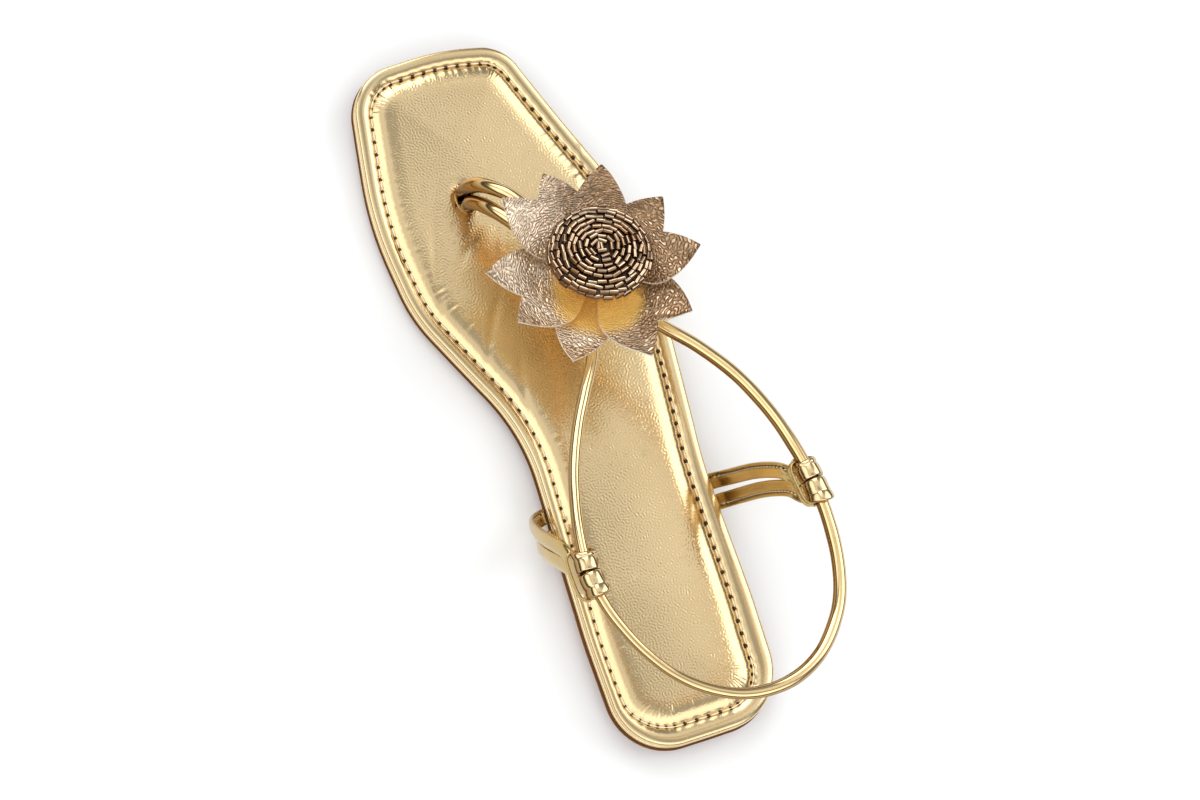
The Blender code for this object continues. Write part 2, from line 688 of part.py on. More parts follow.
# ----------------------------------------------------------------------------------------------------------
# The sandal
# ----------------------------------------------------------------------------------------------------------
clear_scene()
sandal = make_collection("flat sandal")
tools = make_collection("cutters and joined pieces")
post_cutter = make_post_cutter()
sole = sole_outline()
make_outsole(sole)
make_midsole(sole)
make_footbed(sole)
make_upper()
for hitch in HITCHES:
    make_keeper(sole, *hitch)
make_petals()
make_turned("flower_cup", CUP_PROFILE, "gold_leather")
make_turned("bead_disc", DISC_PROFILE, "bronze_beads")
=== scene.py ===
# %% [markdown]
# # A flat thong sandal in gold leather
# A padded footbed on a thin outsole, one round leather cord that runs from the toe post round the ankle and
# back, two doubled straps that hold the cord at the sides, and a leather flower with a beaded centre on the
# toe strap. Everything is in metres: +Y points to the toes, +X to the outer side and +Z up.
#
# The shoe was first built as a solid model, the frame. Here each of its pieces gets a finer shape and a
# finish.

# %% Load the frame
import math

import bpy
import numpy as np
from mathutils import Matrix


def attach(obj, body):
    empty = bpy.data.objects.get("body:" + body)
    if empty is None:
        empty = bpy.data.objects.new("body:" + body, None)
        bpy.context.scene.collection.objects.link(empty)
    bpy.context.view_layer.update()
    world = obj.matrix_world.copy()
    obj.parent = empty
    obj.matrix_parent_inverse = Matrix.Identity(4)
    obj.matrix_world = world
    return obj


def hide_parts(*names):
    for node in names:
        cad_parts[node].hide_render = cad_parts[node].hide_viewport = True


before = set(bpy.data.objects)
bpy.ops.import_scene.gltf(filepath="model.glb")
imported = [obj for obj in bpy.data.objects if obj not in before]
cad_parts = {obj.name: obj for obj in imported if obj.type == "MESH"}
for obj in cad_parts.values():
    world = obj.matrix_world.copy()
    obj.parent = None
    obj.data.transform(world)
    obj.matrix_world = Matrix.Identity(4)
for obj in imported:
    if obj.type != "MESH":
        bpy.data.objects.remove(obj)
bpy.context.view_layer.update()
print("pieces in the frame:", len(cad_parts))

# %% [markdown]
# ## Camera
# The shoe is seen from above, a little from the heel and the inner side, with the camera rolled so that the
# toes point to the upper left. A camera could be turned by three angles, but angles are hard to read. A
# camera's matrix has its right, up and backward directions as columns, so those are worked out from two
# plain statements: "back" points from the shoe to the lens, and the roll says where the toes point in the
# picture.

# %% Camera
AIM = np.array((0.0046, 0.0885, 0.0080))
DISTANCE = 0.940
LENS = 82.6
NEAREST, FARTHEST = 0.01, 20


def unit(vectors):
    """Vectors divided by their own length."""
    return vectors / np.linalg.norm(vectors, axis=-1, keepdims=True)


back = unit(np.array((-0.305, -0.155, 0.940)))
toes_in_picture = unit(np.array((-0.357, 0.934)))
toes = unit(np.array((0.0, 1.0, 0.0)) - back * back[1])
outer = np.cross(toes, back)
right = toes_in_picture[0] * toes + toes_in_picture[1] * outer
up = toes_in_picture[1] * toes - toes_in_picture[0] * outer

camera = bpy.data.objects.new("camera", bpy.data.cameras.new("camera"))
camera_place = np.eye(4)
camera_place[:3] = np.column_stack([right, up, back, AIM + back * DISTANCE])
camera.matrix_world = Matrix(camera_place.tolist())
camera.data.lens = LENS
camera.data.clip_start, camera.data.clip_end = NEAREST, FARTHEST
bpy.context.scene.collection.objects.link(camera)
bpy.context.scene.camera = camera
print("camera at", np.round(camera_place[:3, 3], 3))

# %% [markdown]
# ## Tools for surfaces
# Leather, thread and beads are all surfaces. Each could be modelled by hand from a cube or a cylinder, but
# a piece that is written as a formula can be changed by one number. So every piece is a grid of points:
# rows along it and columns round it. One function hands such a grid to Blender, and others number its
# faces, close it and store where each point lies as a UV map, so that a material can follow the piece.

# %% A piece from numbers
def make_object(name, points, corners, sizes, material, replaced=(), uv=None):
    """A smooth mesh from its points, the corner numbers of its faces one after the other, and each face's
    number of corners. It rides on the shoe's only body, with the given material in its one slot."""
    mesh = bpy.data.meshes.new(name)
    mesh.vertices.add(len(points))
    mesh.vertices.foreach_set("co", np.asarray(points, np.float32).ravel())
    mesh.loops.add(len(corners))
    mesh.loops.foreach_set("vertex_index", np.asarray(corners, np.int32))
    mesh.polygons.add(len(sizes))
    starts = np.concatenate(([0], np.cumsum(sizes)[:-1]))
    mesh.polygons.foreach_set("loop_start", starts.astype(np.int32))
    if uv is not None:
        layer = mesh.uv_layers.new(name="place")
        layer.data.foreach_set("uv", np.asarray(uv, np.float32).ravel())
    mesh.update(calc_edges=True)
    mesh.validate()
    mesh.materials.append(material)
    mesh.shade_smooth()
    piece = bpy.data.objects.new(name, mesh)
    bpy.context.scene.collection.objects.link(piece)
    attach(piece, "root")
    if replaced:
        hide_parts(*replaced)
    print(f"{name}: {len(points)} points, {len(sizes)} faces")
    return piece


# %% Faces and UVs of a grid
def grid_faces(rows, columns, closed_rows=False, closed_columns=False):
    """Corner numbers (faces, 4) of a grid whose point (row, column) has number row * columns + column. A
    closed direction also gets the faces from its last points back to its first."""
    row = np.arange(rows if closed_rows else rows - 1)[:, None]
    column = np.arange(columns if closed_columns else columns - 1)[None, :]
    next_row, next_column = (row + 1) % rows, (column + 1) % columns
    quads = [row * columns + column, row * columns + next_column,
             next_row * columns + next_column, next_row * columns + column]
    quads = [np.broadcast_to(quad, (row.size, column.size)) for quad in quads]
    return np.stack(quads, axis=-1).reshape(-1, 4)


def grid_uv(rows, columns, closed_rows=False, closed_columns=False, along=None, around=None):
    """UV of each face corner: u is the row's place along the piece, and v the column's share of the way
    round."""
    along = np.linspace(0, 1, rows + 1) if along is None else along
    around = np.linspace(0, 1, columns + 1) if around is None else around
    row = np.arange(rows if closed_rows else rows - 1)[:, None, None]
    column = np.arange(columns if closed_columns else columns - 1)[None, :, None]
    corner_rows, corner_columns = row + np.array((0, 0, 1, 1)), column + np.array((0, 1, 1, 0))
    rows_of, columns_of = np.broadcast_arrays(corner_rows, corner_columns)
    return np.stack([along[rows_of], around[columns_of]], axis=-1).reshape(-1, 2)


print("a grid of 5 by 8 points:", len(grid_faces(5, 8)), "faces, and",
      len(grid_faces(5, 8, closed_columns=True)), "when it is closed round")


# %% A closed piece from a grid
def grid_piece(name, points, material, slot_name, replaced=(), closed_rows=False, caps=False, flip=False,
               **uv):
    """A piece from points (rows, columns, 3) that is closed round its columns. Its ends are joined
    (closed_rows) or capped by one face each (caps), and flip turns every face over where the grid runs the
    other way round."""
    rows, columns = points.shape[:2]
    quads = grid_faces(rows, columns, closed_rows, True)
    places = grid_uv(rows, columns, closed_rows, True, **uv).reshape(-1, 4, 2)
    if flip:
        quads, places = quads[:, ::-1], places[:, ::-1]
    corners, sizes, places = [quads.ravel()], [np.full(len(quads), 4)], [places.reshape(-1, 2)]
    if caps:
        first, last_one = np.arange(columns), np.arange(columns) + (rows - 1) * columns
        for ring, turned in ((first, not flip), (last_one, flip)):
            corners.append(ring[::-1] if turned else ring)
            sizes.append([columns])
            places.append(np.zeros((columns, 2)))
    return make_object(name, points.reshape(-1, 3), np.concatenate(corners), np.concatenate(sizes), material,
                       replaced, np.concatenate(places))


# %% Lines through a few points
def smooth_line(rows, steps):
    """Points on the Catmull-Rom curve through the rows, with this many stretches from each row to the next.
    On a stretch, each end pulls with a cubic weight, and the direction at a row is half the step between
    its neighbours."""
    rows = np.asarray(rows, float)
    padded = np.vstack([2 * rows[0] - rows[1], rows, 2 * rows[-1] - rows[-2]])
    before, here = padded[:-3, None], padded[1:-2, None]
    after, beyond = padded[2:-1, None], padded[3:, None]
    share = (np.arange(steps) / steps)[None, :, None]
    line = ((1 + 2 * share) * (1 - share) ** 2 * here + share * (1 - share) ** 2 * (after - before) / 2
            + share ** 2 * (3 - 2 * share) * after + share ** 2 * (share - 1) * (beyond - here) / 2)
    return np.vstack([line.reshape(-1, rows.shape[1]), rows[-1:]])


def lengths_along(line):
    """Distance of each point from the line's start, measured along it."""
    return np.concatenate(([0.0], np.cumsum(np.linalg.norm(np.diff(line, axis=0), axis=1))))


bow = smooth_line(((0.0, 0.0), (1.0, 1.0), (2.0, 0.0)), 8)
print("a bow through 3 points:", len(bow), "points,", round(float(lengths_along(bow)[-1]), 3), "long")


# %% [markdown]
# ## Tools for materials
# A material is a small network of nodes. It could be drawn by hand in the shader editor, but written down
# it can be read and repeated. One helper adds a node and fills its sockets, from numbers or from other
# nodes' outputs. Four more stand for the steps used most: a sum or product, a stretched range, a blend of
# two colours and a vector taken apart.

# %% Nodes
def add_node(tree, kind, sockets=None, **settings):
    """A new node with its settings, and with its sockets set to values or linked to outputs."""
    made = tree.nodes.new(kind)
    for name, value in settings.items():
        setattr(made, name, value)
    for name, value in (sockets or {}).items():
        if isinstance(value, bpy.types.NodeSocket):
            tree.links.new(value, made.inputs[name])
        else:
            made.inputs[name].default_value = value
    return made


def calculate(tree, operation, *values, clamp=False):
    """The output of a Math node."""
    sockets = dict(enumerate(values))
    return add_node(tree, "ShaderNodeMath", sockets, operation=operation, use_clamp=clamp).outputs[0]


# %% Ranges, colours and vectors
def remap(tree, value, low, high, to_low=0.0, to_high=1.0):
    """A value's range from low to high stretched to another range, with soft ends, and level outside it."""
    sockets = {"Value": value, "From Min": low, "From Max": high, "To Min": to_low, "To Max": to_high}
    return add_node(tree, "ShaderNodeMapRange", sockets, interpolation_type="SMOOTHSTEP").outputs["Result"]


def blend_colours(tree, share, one, other):
    """One colour where the share is 0 and the other where it is 1."""
    mix = tree.nodes.new("ShaderNodeMix")
    mix.data_type = "RGBA"
    for socket, value in ((mix.inputs[0], share), (mix.inputs[6], one), (mix.inputs[7], other)):
        if isinstance(value, bpy.types.NodeSocket):
            tree.links.new(value, socket)
        else:
            socket.default_value = value if isinstance(value, float) else (*value, 1.0)
    return mix.outputs[2]


def split(tree, vector):
    """The X, Y and Z outputs of a vector."""
    return add_node(tree, "ShaderNodeSeparateXYZ", {"Vector": vector}).outputs


# %% [markdown]
# ## Grain and drift
# Two effects are used by nearly every finish here, so each is a node group, built once. Foil on leather
# shows short wandering ridges of one even size. A noise texture would give blotches of every size, so the
# Gabor texture is used: it is made of waves of a single length that turn this way and that. It is a flat
# pattern, so its place is brought down to two directions first, and some of the height is mixed into both
# so that the ridges run on down the sides of a piece.
#
# No skin of leather has one flat colour either: the drift group gives a slow change of tone from place to
# place. Both groups put out only heights and masks, and the shader with its gloss stays in each material.

# %% Grain: short wandering ridges of one even size
HEIGHT_IN_X, HEIGHT_IN_Y = 0.61, 0.79
WAVES_IN_A_CELL = 2.0
RIDGE_FROM, RIDGE_TO = 0.50, 0.80


def new_group(name, inputs, outputs):
    """An empty node group with number sockets, apart from a vector called Place."""
    group = bpy.data.node_groups.new(name, "ShaderNodeTree")
    for socket, value in inputs.items():
        kind = "NodeSocketVector" if socket == "Place" else "NodeSocketFloat"
        made = group.interface.new_socket(socket, in_out="INPUT", socket_type=kind)
        if value is not None:
            made.default_value = value
    for socket in outputs:
        group.interface.new_socket(socket, in_out="OUTPUT", socket_type="NodeSocketFloat")
    return group, group.nodes.new("NodeGroupInput").outputs, group.nodes.new("NodeGroupOutput").inputs


grain_group, given, result = new_group("foil grain", {"Place": None, "Size": 0.001}, ("Height", "Ridge"))
x, y, z = split(grain_group, given["Place"])
level = add_node(grain_group, "ShaderNodeCombineXYZ", {
    "X": calculate(grain_group, "MULTIPLY_ADD", z, HEIGHT_IN_X, x),
    "Y": calculate(grain_group, "MULTIPLY_ADD", z, HEIGHT_IN_Y, y)}).outputs["Vector"]
cells = calculate(grain_group, "DIVIDE", 1 / WAVES_IN_A_CELL, given["Size"])
waves = add_node(grain_group, "ShaderNodeTexGabor", {
    "Vector": level, "Scale": cells, "Frequency": WAVES_IN_A_CELL, "Anisotropy": 0.0}).outputs["Value"]
grain_group.links.new(remap(grain_group, waves, RIDGE_FROM, RIDGE_TO), result["Ridge"])
grain_group.links.new(waves, result["Height"])
print("grain group:", len(grain_group.nodes), "nodes")

# %% Drift: a slow change of tone over the surface
drift_inputs = {"Place": None, "Size": 0.02, "Contrast": 1.0}
drift_group, given, result = new_group("tone drift", drift_inputs, ("Tone",))
clouds = calculate(drift_group, "DIVIDE", 1.0, given["Size"])
noise = add_node(drift_group, "ShaderNodeTexNoise",
                 {"Vector": given["Place"], "Scale": clouds, "Detail": 3.0})
from_middle = calculate(drift_group, "SUBTRACT", noise.outputs["Fac"], 0.5)
swing = calculate(drift_group, "MULTIPLY", from_middle, given["Contrast"])
drift_group.links.new(calculate(drift_group, "ADD", swing, 0.5, clamp=True), result["Tone"])
print("drift group:", len(drift_group.nodes), "nodes")


# %% A material and its groups
def new_material(name):
    """A material with its node tree, its Principled shader, and the place on the object as a starting
    output."""
    material = bpy.data.materials.new(name)
    material.use_nodes = True
    tree = material.node_tree
    place = tree.nodes.new("ShaderNodeTexCoord").outputs["Object"]
    return material, tree, tree.nodes["Principled BSDF"], place


def use_group(tree, group, place, **values):
    """A node group placed in a material, with its own values."""
    made = tree.nodes.new("ShaderNodeGroup")
    made.node_tree = group
    tree.links.new(place, made.inputs["Place"])
    for name, value in values.items():
        made.inputs[name].default_value = value
    return made.outputs


def bump(tree, shader, height, distance):
    """Turns a height into a bent normal: a height of 1 stands this far above a height of 0."""
    sockets = {"Height": height, "Distance": distance, "Strength": 1.0}
    normal = add_node(tree, "ShaderNodeBump", sockets).outputs["Normal"]
    tree.links.new(normal, shader.inputs["Normal"])


def facing(tree):
    """The Z of the surface's normal: 1 where it looks up, 0 where it stands upright, -1 where it looks
    down."""
    return split(tree, tree.nodes.new("ShaderNodeNewGeometry").outputs["Normal"])["Z"]


# %% [markdown]
# ## Gold leather
# The gold is a foil laid on leather, so its shader is a metal: its colour is the colour of what it mirrors.
# Plain yellow paint would look like plastic. The foil's grain is pressed in as tiny ridges that catch the
# light, whose tops also get a painted highlight, and its tone drifts a little. The footbed has the deepest
# grain and the cord is nearly smooth. Where leather is stretched over an edge its grain flattens, and the
# sides of the cord and the hitches get
# painted shade: a deeper tone than their tops. One function with a few options makes all of them, so that
# they stay one family.

# %% Foil leather
FOIL_DRIFT, FOIL_CONTRAST = 0.03, 1.6
RIDGE_HIGHLIGHT_GAIN, RIDGE_LIGHTER = 0.15, 1.25
GLOSS_SPREAD = 0.05
# Painted shade: the tone laid on a piece's sides, between the facing Z values UPRIGHT and FLAT.
SIDE_SHADE_TONE = (0.27, 0.14, 0.030)
UPRIGHT, FLAT = 0.35, 0.92
SLOPING, LEVEL = 0.975, 0.998


def foil_leather(name, light, deep, roughness, grain, depth, painted_side_shade=0.0, stretched=0.0):
    """Metal foil on leather: two tones of its colour, and its grain's size and depth in metres.
    "painted_side_shade" is how much painted shade darkens the foil where the surface looks neither up nor
    down, and "stretched" how much of its grain is gone where the surface slopes. The grain's ridges also get
    a painted highlight."""
    material, tree, shader, place = new_material(name)
    marks = use_group(tree, grain_group, place, Size=grain)
    tone = use_group(tree, drift_group, place, Size=FOIL_DRIFT, Contrast=FOIL_CONTRAST)["Tone"]
    colour = blend_colours(tree, tone, deep, light)
    # Painted highlight: the grain's ridges get a lighter colour.
    ridge_highlight = calculate(tree, "MULTIPLY", marks["Ridge"], RIDGE_HIGHLIGHT_GAIN)
    colour = blend_colours(tree, ridge_highlight, colour, tuple(min(1.0, RIDGE_LIGHTER * value) for value in light))
    rise = facing(tree)
    # Painted shade: the foil is darker where the surface looks sideways.
    if painted_side_shade:
        on_the_side = remap(tree, calculate(tree, "ABSOLUTE", rise), UPRIGHT, FLAT, painted_side_shade, 0.0)
        colour = blend_colours(tree, on_the_side, colour, SIDE_SHADE_TONE)
    tree.links.new(colour, shader.inputs["Base Color"])
    shader.inputs["Metallic"].default_value = 1.0
    rough = remap(tree, tone, 0.0, 1.0, roughness + GLOSS_SPREAD / 2, roughness - GLOSS_SPREAD / 2)
    tree.links.new(rough, shader.inputs["Roughness"])
    height = marks["Height"]
    if stretched:
        kept = remap(tree, rise, SLOPING, LEVEL, 1 - stretched, 1.0)
        height = calculate(tree, "MULTIPLY", height, kept)
    bump(tree, shader, height, depth)
    return material


# %% The gold leathers
footbed_leather = foil_leather("footbed leather", (0.84, 0.64, 0.36), (0.74, 0.55, 0.295), 0.20, 0.0011,
                               0.000078, stretched=0.7)
rim_leather = foil_leather("rim leather", (0.86, 0.67, 0.39), (0.74, 0.55, 0.29), 0.19, 0.0014, 0.00001)
cord_leather = foil_leather("cord leather", (0.97, 0.72, 0.385), (0.84, 0.59, 0.28), 0.12, 0.0020, 0.000008,
                            painted_side_shade=1.0)
strap_leather = foil_leather("strap leather", (0.63, 0.46, 0.205), (0.49, 0.345, 0.135), 0.22, 0.0010,
                             0.00005)
hitch_leather = foil_leather("hitch leather", (0.88, 0.68, 0.40), (0.74, 0.54, 0.28), 0.12, 0.0014, 0.00002,
                             painted_side_shade=0.9)
cup_leather = foil_leather("cup leather", (0.95, 0.76, 0.42), (0.85, 0.62, 0.30), 0.25, 0.0014, 0.00004)
gold_leathers = (footbed_leather, rim_leather, cord_leather, strap_leather, hitch_leather, cup_leather)
print("gold leathers:", ", ".join(leather.name for leather in gold_leathers))

# %% [markdown]
# ## Petal leather
# The petals are cut from a crackled rose foil whose cracks run across them, and near the middle of the
# flower the foil is worn to a warm gold. The cut edge is pale, and so is the bare underside. Painting an
# image would be one way, but ten petals would need ten images. Here every mask is worked out instead: the
# cracks from the distance and the bearing from the flower's middle, and the edge, underside and worn base
# from the petal's own UV. Its u runs from root to tip. Its v goes once round: 0 to 0.5 is the upper face,
# and the cut edge lies at 0, 0.5 and 1.

# %% Petal colours and masks
FLOWER_BASE = (0.0076, 0.1234, 0.0436)
# Painted shade: the lit tones hold on the inner side of the flower and the shaded ones on its outer side.
ROSE_LIT = ((0.66, 0.50, 0.355), (0.92, 0.75, 0.57))
ROSE_SHADED = ((0.29, 0.17, 0.090), (0.48, 0.30, 0.165))
SHADED_FROM, SHADED_TO = -0.010, 0.020
# Painted highlight: the pale tone laid on the crackle's ridges.
RIDGE_HIGHLIGHT_TONE, CRACK_TONE = (0.86, 0.72, 0.56), (0.12, 0.072, 0.042)
WORN_TONE, UNDER_TONE, EDGE_TONE = (0.98, 0.61, 0.155), (1.0, 0.93, 0.74), (0.62, 0.52, 0.50)
BEARING_SCALE = 0.013
CRACK_SIZE, FINE_SIZE, CRACKLE_DEPTH = 0.0014, 0.0012, 0.00020
RIDGE_SHARE, CRACK_SHARE, CRACK_WIDTH = 0.45, 0.56, 0.065
WORN_BULGE, WIDEST, WORN_TO, ROSE_FROM, WORN_LESS = 1.6, 0.23, 0.43, 0.64, 0.32


def petal_foil(tree, place, tone, marks, crack):
    """Rose foil in two tones, with painted shade that darkens it towards the outer side, a painted highlight
    on pale ridges, and dark cracks.
    """
    side = remap(tree, split(tree, place)["X"], SHADED_FROM, SHADED_TO)
    deep, light = (blend_colours(tree, side, lit, shaded) for lit, shaded in zip(ROSE_LIT, ROSE_SHADED))
    colour = blend_colours(tree, tone, deep, light)
    # Painted highlight on the ridges.
    colour = blend_colours(tree, calculate(tree, "MULTIPLY", marks["Ridge"], RIDGE_SHARE), colour, RIDGE_HIGHLIGHT_TONE)
    return blend_colours(tree, remap(tree, crack, 0.0, CRACK_WIDTH, CRACK_SHARE, 0.0), colour, CRACK_TONE)


def worn_base(tree, place, along, around):
    """1 near the flower's middle, 0 on the rest of a petal. The border bulges towards the tip in the middle
    of the petal, by a square of the way round, and lies nearer the root on the petals of the toe end and
    the outer side."""
    x, y, _ = split(tree, place)
    bulge = calculate(tree, "POWER", calculate(tree, "SUBTRACT", around, WIDEST), 2.0)
    reach = calculate(tree, "MULTIPLY_ADD", bulge, WORN_BULGE, along)
    for value, low, high in ((y, 0.108, 0.130), (x, 0.006, 0.026)):
        reach = calculate(tree, "ADD", reach, remap(tree, value, low, high, 0.0, WORN_LESS))
    return remap(tree, reach, WORN_TO, ROSE_FROM, 1.0, 0.0)


# %% Edge, underside and directions of a petal
UNDER_FROM, UNDER_TO = 0.47, 0.49
EDGE_WIDTH, EDGE_FADE = 0.004, 0.012


def bare_leather(tree, around):
    """Masks of the cut edge and of the underside. The way round, folded at every quarter, is the distance to
    the nearest edge: 0 on the edge and 0.25 in the middle of a face."""
    to_the_edge = calculate(tree, "PINGPONG", around, 0.25)
    edge = remap(tree, to_the_edge, EDGE_WIDTH, EDGE_FADE, 1.0, 0.0)
    return edge, remap(tree, around, UNDER_FROM, UNDER_TO)


def spokes(tree, place):
    """Distance from the flower's middle, the root of the sum of squares, and the bearing scaled to a length.
    A grain on this place follows the petals' own directions."""
    aside = add_node(tree, "ShaderNodeVectorMath", {0: place, 1: FLOWER_BASE}, operation="SUBTRACT")
    away_x, away_y, _ = split(tree, aside.outputs["Vector"])
    squares = (calculate(tree, "POWER", away, 2.0) for away in (away_x, away_y))
    radius = calculate(tree, "SQRT", calculate(tree, "ADD", *squares))
    bearing = calculate(tree, "MULTIPLY", calculate(tree, "ARCTAN2", away_y, away_x), BEARING_SCALE)
    return add_node(tree, "ShaderNodeCombineXYZ", {"X": radius, "Y": bearing}).outputs["Vector"]


# %% Petal leather
BARE_LESS_METAL, WORN_LESS_METAL = -0.8, -0.45
DULL, BRIGHT, WORN_DULLER = 0.30, 0.20, 0.15


def petal_finish():
    """Crackled rose foil with a worn base, a pale underside and a pale cut edge."""
    material, tree, shader, place = new_material("petal leather")
    along, around, _ = split(tree, add_node(tree, "ShaderNodeUVMap", uv_map="place").outputs["UV"])
    marks = use_group(tree, grain_group, spokes(tree, place), Size=CRACK_SIZE)
    fine = use_group(tree, grain_group, place, Size=FINE_SIZE)
    tone = use_group(tree, drift_group, place, Size=0.012, Contrast=1.8)["Tone"]
    crack = calculate(tree, "ABSOLUTE", calculate(tree, "SUBTRACT", marks["Height"], 0.5))
    colour = petal_foil(tree, place, tone, marks, crack)
    base = worn_base(tree, place, along, around)
    colour = blend_colours(tree, calculate(tree, "MULTIPLY", base, 0.95), colour, WORN_TONE)
    edge, under = bare_leather(tree, around)
    colour = blend_colours(tree, under, colour, UNDER_TONE)
    colour = blend_colours(tree, edge, colour, EDGE_TONE)
    tree.links.new(colour, shader.inputs["Base Color"])
    bare = calculate(tree, "MULTIPLY", calculate(tree, "MAXIMUM", edge, under), BARE_LESS_METAL)
    less_metal = calculate(tree, "MULTIPLY_ADD", base, WORN_LESS_METAL, bare)
    tree.links.new(calculate(tree, "ADD", less_metal, 1.0, clamp=True), shader.inputs["Metallic"])
    rough = remap(tree, marks["Ridge"], 0.0, 1.0, DULL, BRIGHT)
    tree.links.new(calculate(tree, "MULTIPLY_ADD", base, WORN_DULLER, rough), shader.inputs["Roughness"])
    both = calculate(tree, "MULTIPLY_ADD", fine["Height"], 0.5, remap(tree, crack, 0.0, 0.16))
    crackle = calculate(tree, "MULTIPLY", both, remap(tree, base, 0.0, 1.0, 1.0, 0.5))
    bump(tree, shader, crackle, CRACKLE_DEPTH)
    return material


petal_leather = petal_finish()
print("petal leather:", len(petal_leather.node_tree.nodes), "nodes")

# %% [markdown]
# ## Plain finishes
# The outsole is moulded brown compound, the stitches are gold thread that dips into holes whose shade is
# painted on, and the flower's middle is bronze glass on a dark backing. Each could be one flat colour, but
# two close tones that drift into each other look more like a made thing. The beads get painted shade on their
# sides, which leaves a painted highlight along their tops, and the outsole gets a painted shadow on the
# narrow ledge that looks up.

# %% A plain finish
ROUGHER, SMOOTHER = 1.15, 0.85


def plain_finish(name, one, other, size, roughness, metallic=0.0, depth=0.0, grain=0.001):
    """Two tones drifting into each other, with a fine grain if it has a depth."""
    material, tree, shader, place = new_material(name)
    tone = use_group(tree, drift_group, place, Size=size, Contrast=2.0)["Tone"]
    tree.links.new(blend_colours(tree, tone, one, other), shader.inputs["Base Color"])
    rough = remap(tree, tone, 0.0, 1.0, roughness * ROUGHER, roughness * SMOOTHER)
    tree.links.new(rough, shader.inputs["Roughness"])
    shader.inputs["Metallic"].default_value = metallic
    if depth:
        bump(tree, shader, use_group(tree, grain_group, place, Size=grain)["Height"], depth)
    return material


def painted_shade_by_facing(material, full, none, tone):
    """Paints shade: blends a material's colour to a darker tone by how far up the surface looks: all of the
    tone where the normal's Z is "full", and none of it where it is "none"."""
    tree = material.node_tree
    colour = tree.nodes["Principled BSDF"].inputs["Base Color"]
    low, high = min(full, none), max(full, none)
    share = remap(tree, facing(tree), low, high, float(full < none), float(full > none))
    tree.links.new(blend_colours(tree, share, colour.links[0].from_socket, tone), colour)


# %% Outsole, thread, holes and beads
outsole_finish = plain_finish("outsole compound", (0.19, 0.055, 0.003), (0.30, 0.10, 0.010), 0.02, 0.40,
                              depth=0.00002)
# Painted shadow: the top of the outsole's ledge, which looks up, is darker.
painted_shade_by_facing(outsole_finish, 0.85, 0.45, (0.14, 0.052, 0.006))
outsole_finish.node_tree.nodes["Principled BSDF"].inputs["Specular IOR Level"].default_value = 0.16
thread = plain_finish("gold thread", (0.92, 0.74, 0.44), (1.00, 0.92, 0.70), 0.002, 0.38, metallic=0.1,
                      depth=0.00003, grain=0.0004)
# Painted shade: the dark stitch holes stand in for the shade inside each hole.
hole_shade = plain_finish("stitch hole", (0.030, 0.012, 0.003), (0.050, 0.020, 0.005), 0.002, 0.6)
bead_glass = plain_finish("bronze bead", (0.44, 0.29, 0.17), (1.00, 0.85, 0.62), 0.003, 0.10, metallic=1.0)
# Painted shade on the beads' sides, which leaves a painted highlight along their tops.
painted_shade_by_facing(bead_glass, 0.88, 0.999, (0.20, 0.10, 0.045))
bead_backing = plain_finish("bead backing", (0.045, 0.022, 0.010), (0.09, 0.045, 0.022), 0.003, 0.7,
                            depth=0.0001)
finishes = (outsole_finish, thread, hole_shade, bead_glass, bead_backing)
print("other finishes:", ", ".join(finish.name for finish in finishes))

# %% [markdown]
# ## Outline of the sole
# Outsole, midsole and footbed share one outline, long and narrow, with a nearly square toe. It could be
# drawn as a curve by hand, but curves bulge where their handles are a little off. A shoemaker's pattern has
# straight runs and rounded corners, and so has this one: a polygon whose corners are rounded by arcs that
# just touch both legs. The numbers are the frame's own, with many more points on them so that the long
# curves look smooth.

# %% Corners of the outline
SOLE_LENGTH, HEEL_SEAT = 0.2540, 0.0320
# Columns: place across the shoe, distance from the heel's end, radius of the corner.
OUTLINE = np.array((
    (-0.0005, -0.0003, 0.110), (0.0280, -0.0010, 0.022), (0.0305, 0.0395, 0.120),
    (0.0315, 0.0885, 0.150), (0.0430, 0.1695, 0.060), (0.0370, 0.1970, 0.090),
    (0.0165, 0.2500, 0.016), (-0.0065, 0.2545, 0.090), (-0.0405, 0.2530, 0.018),
    (-0.0495, 0.2020, 0.130), (-0.0470, 0.1675, 0.055), (-0.0255, 0.1185, 0.070),
    (-0.0310, 0.0440, 0.200), (-0.0315, 0.0010, 0.021),
))
TOE_ROW = 7
ARC_STEP = math.radians(3)


def corner_arc(before, corner, after, radius):
    """Points of the arc that touches both legs of a corner: its centre lies on the corner's bisector."""
    behind, ahead = unit(before - corner), unit(after - corner)
    half = math.acos(behind @ ahead) / 2
    centre = corner + unit(behind + ahead) * radius / math.sin(half)
    start, end = (corner + leg * radius / math.tan(half) - centre for leg in (behind, ahead))
    angle = math.pi - 2 * half
    share = np.linspace(0, 1, 2 * math.ceil(angle / ARC_STEP) + 1)[:, None]
    return centre + (np.sin((1 - share) * angle) * start + np.sin(share * angle) * end) / math.sin(angle)


corners = np.column_stack([OUTLINE[:, 0], OUTLINE[:, 1] - HEEL_SEAT])
arcs = [corner_arc(corners[i - 1], corners[i], corners[(i + 1) % len(corners)], OUTLINE[i, 2])
        for i in range(len(corners))]
print("corners:", len(arcs), "with", sum(map(len, arcs)), "points")

# %% Evenly spread points
SIDE_POINTS = 480
CROWDING = 0.007


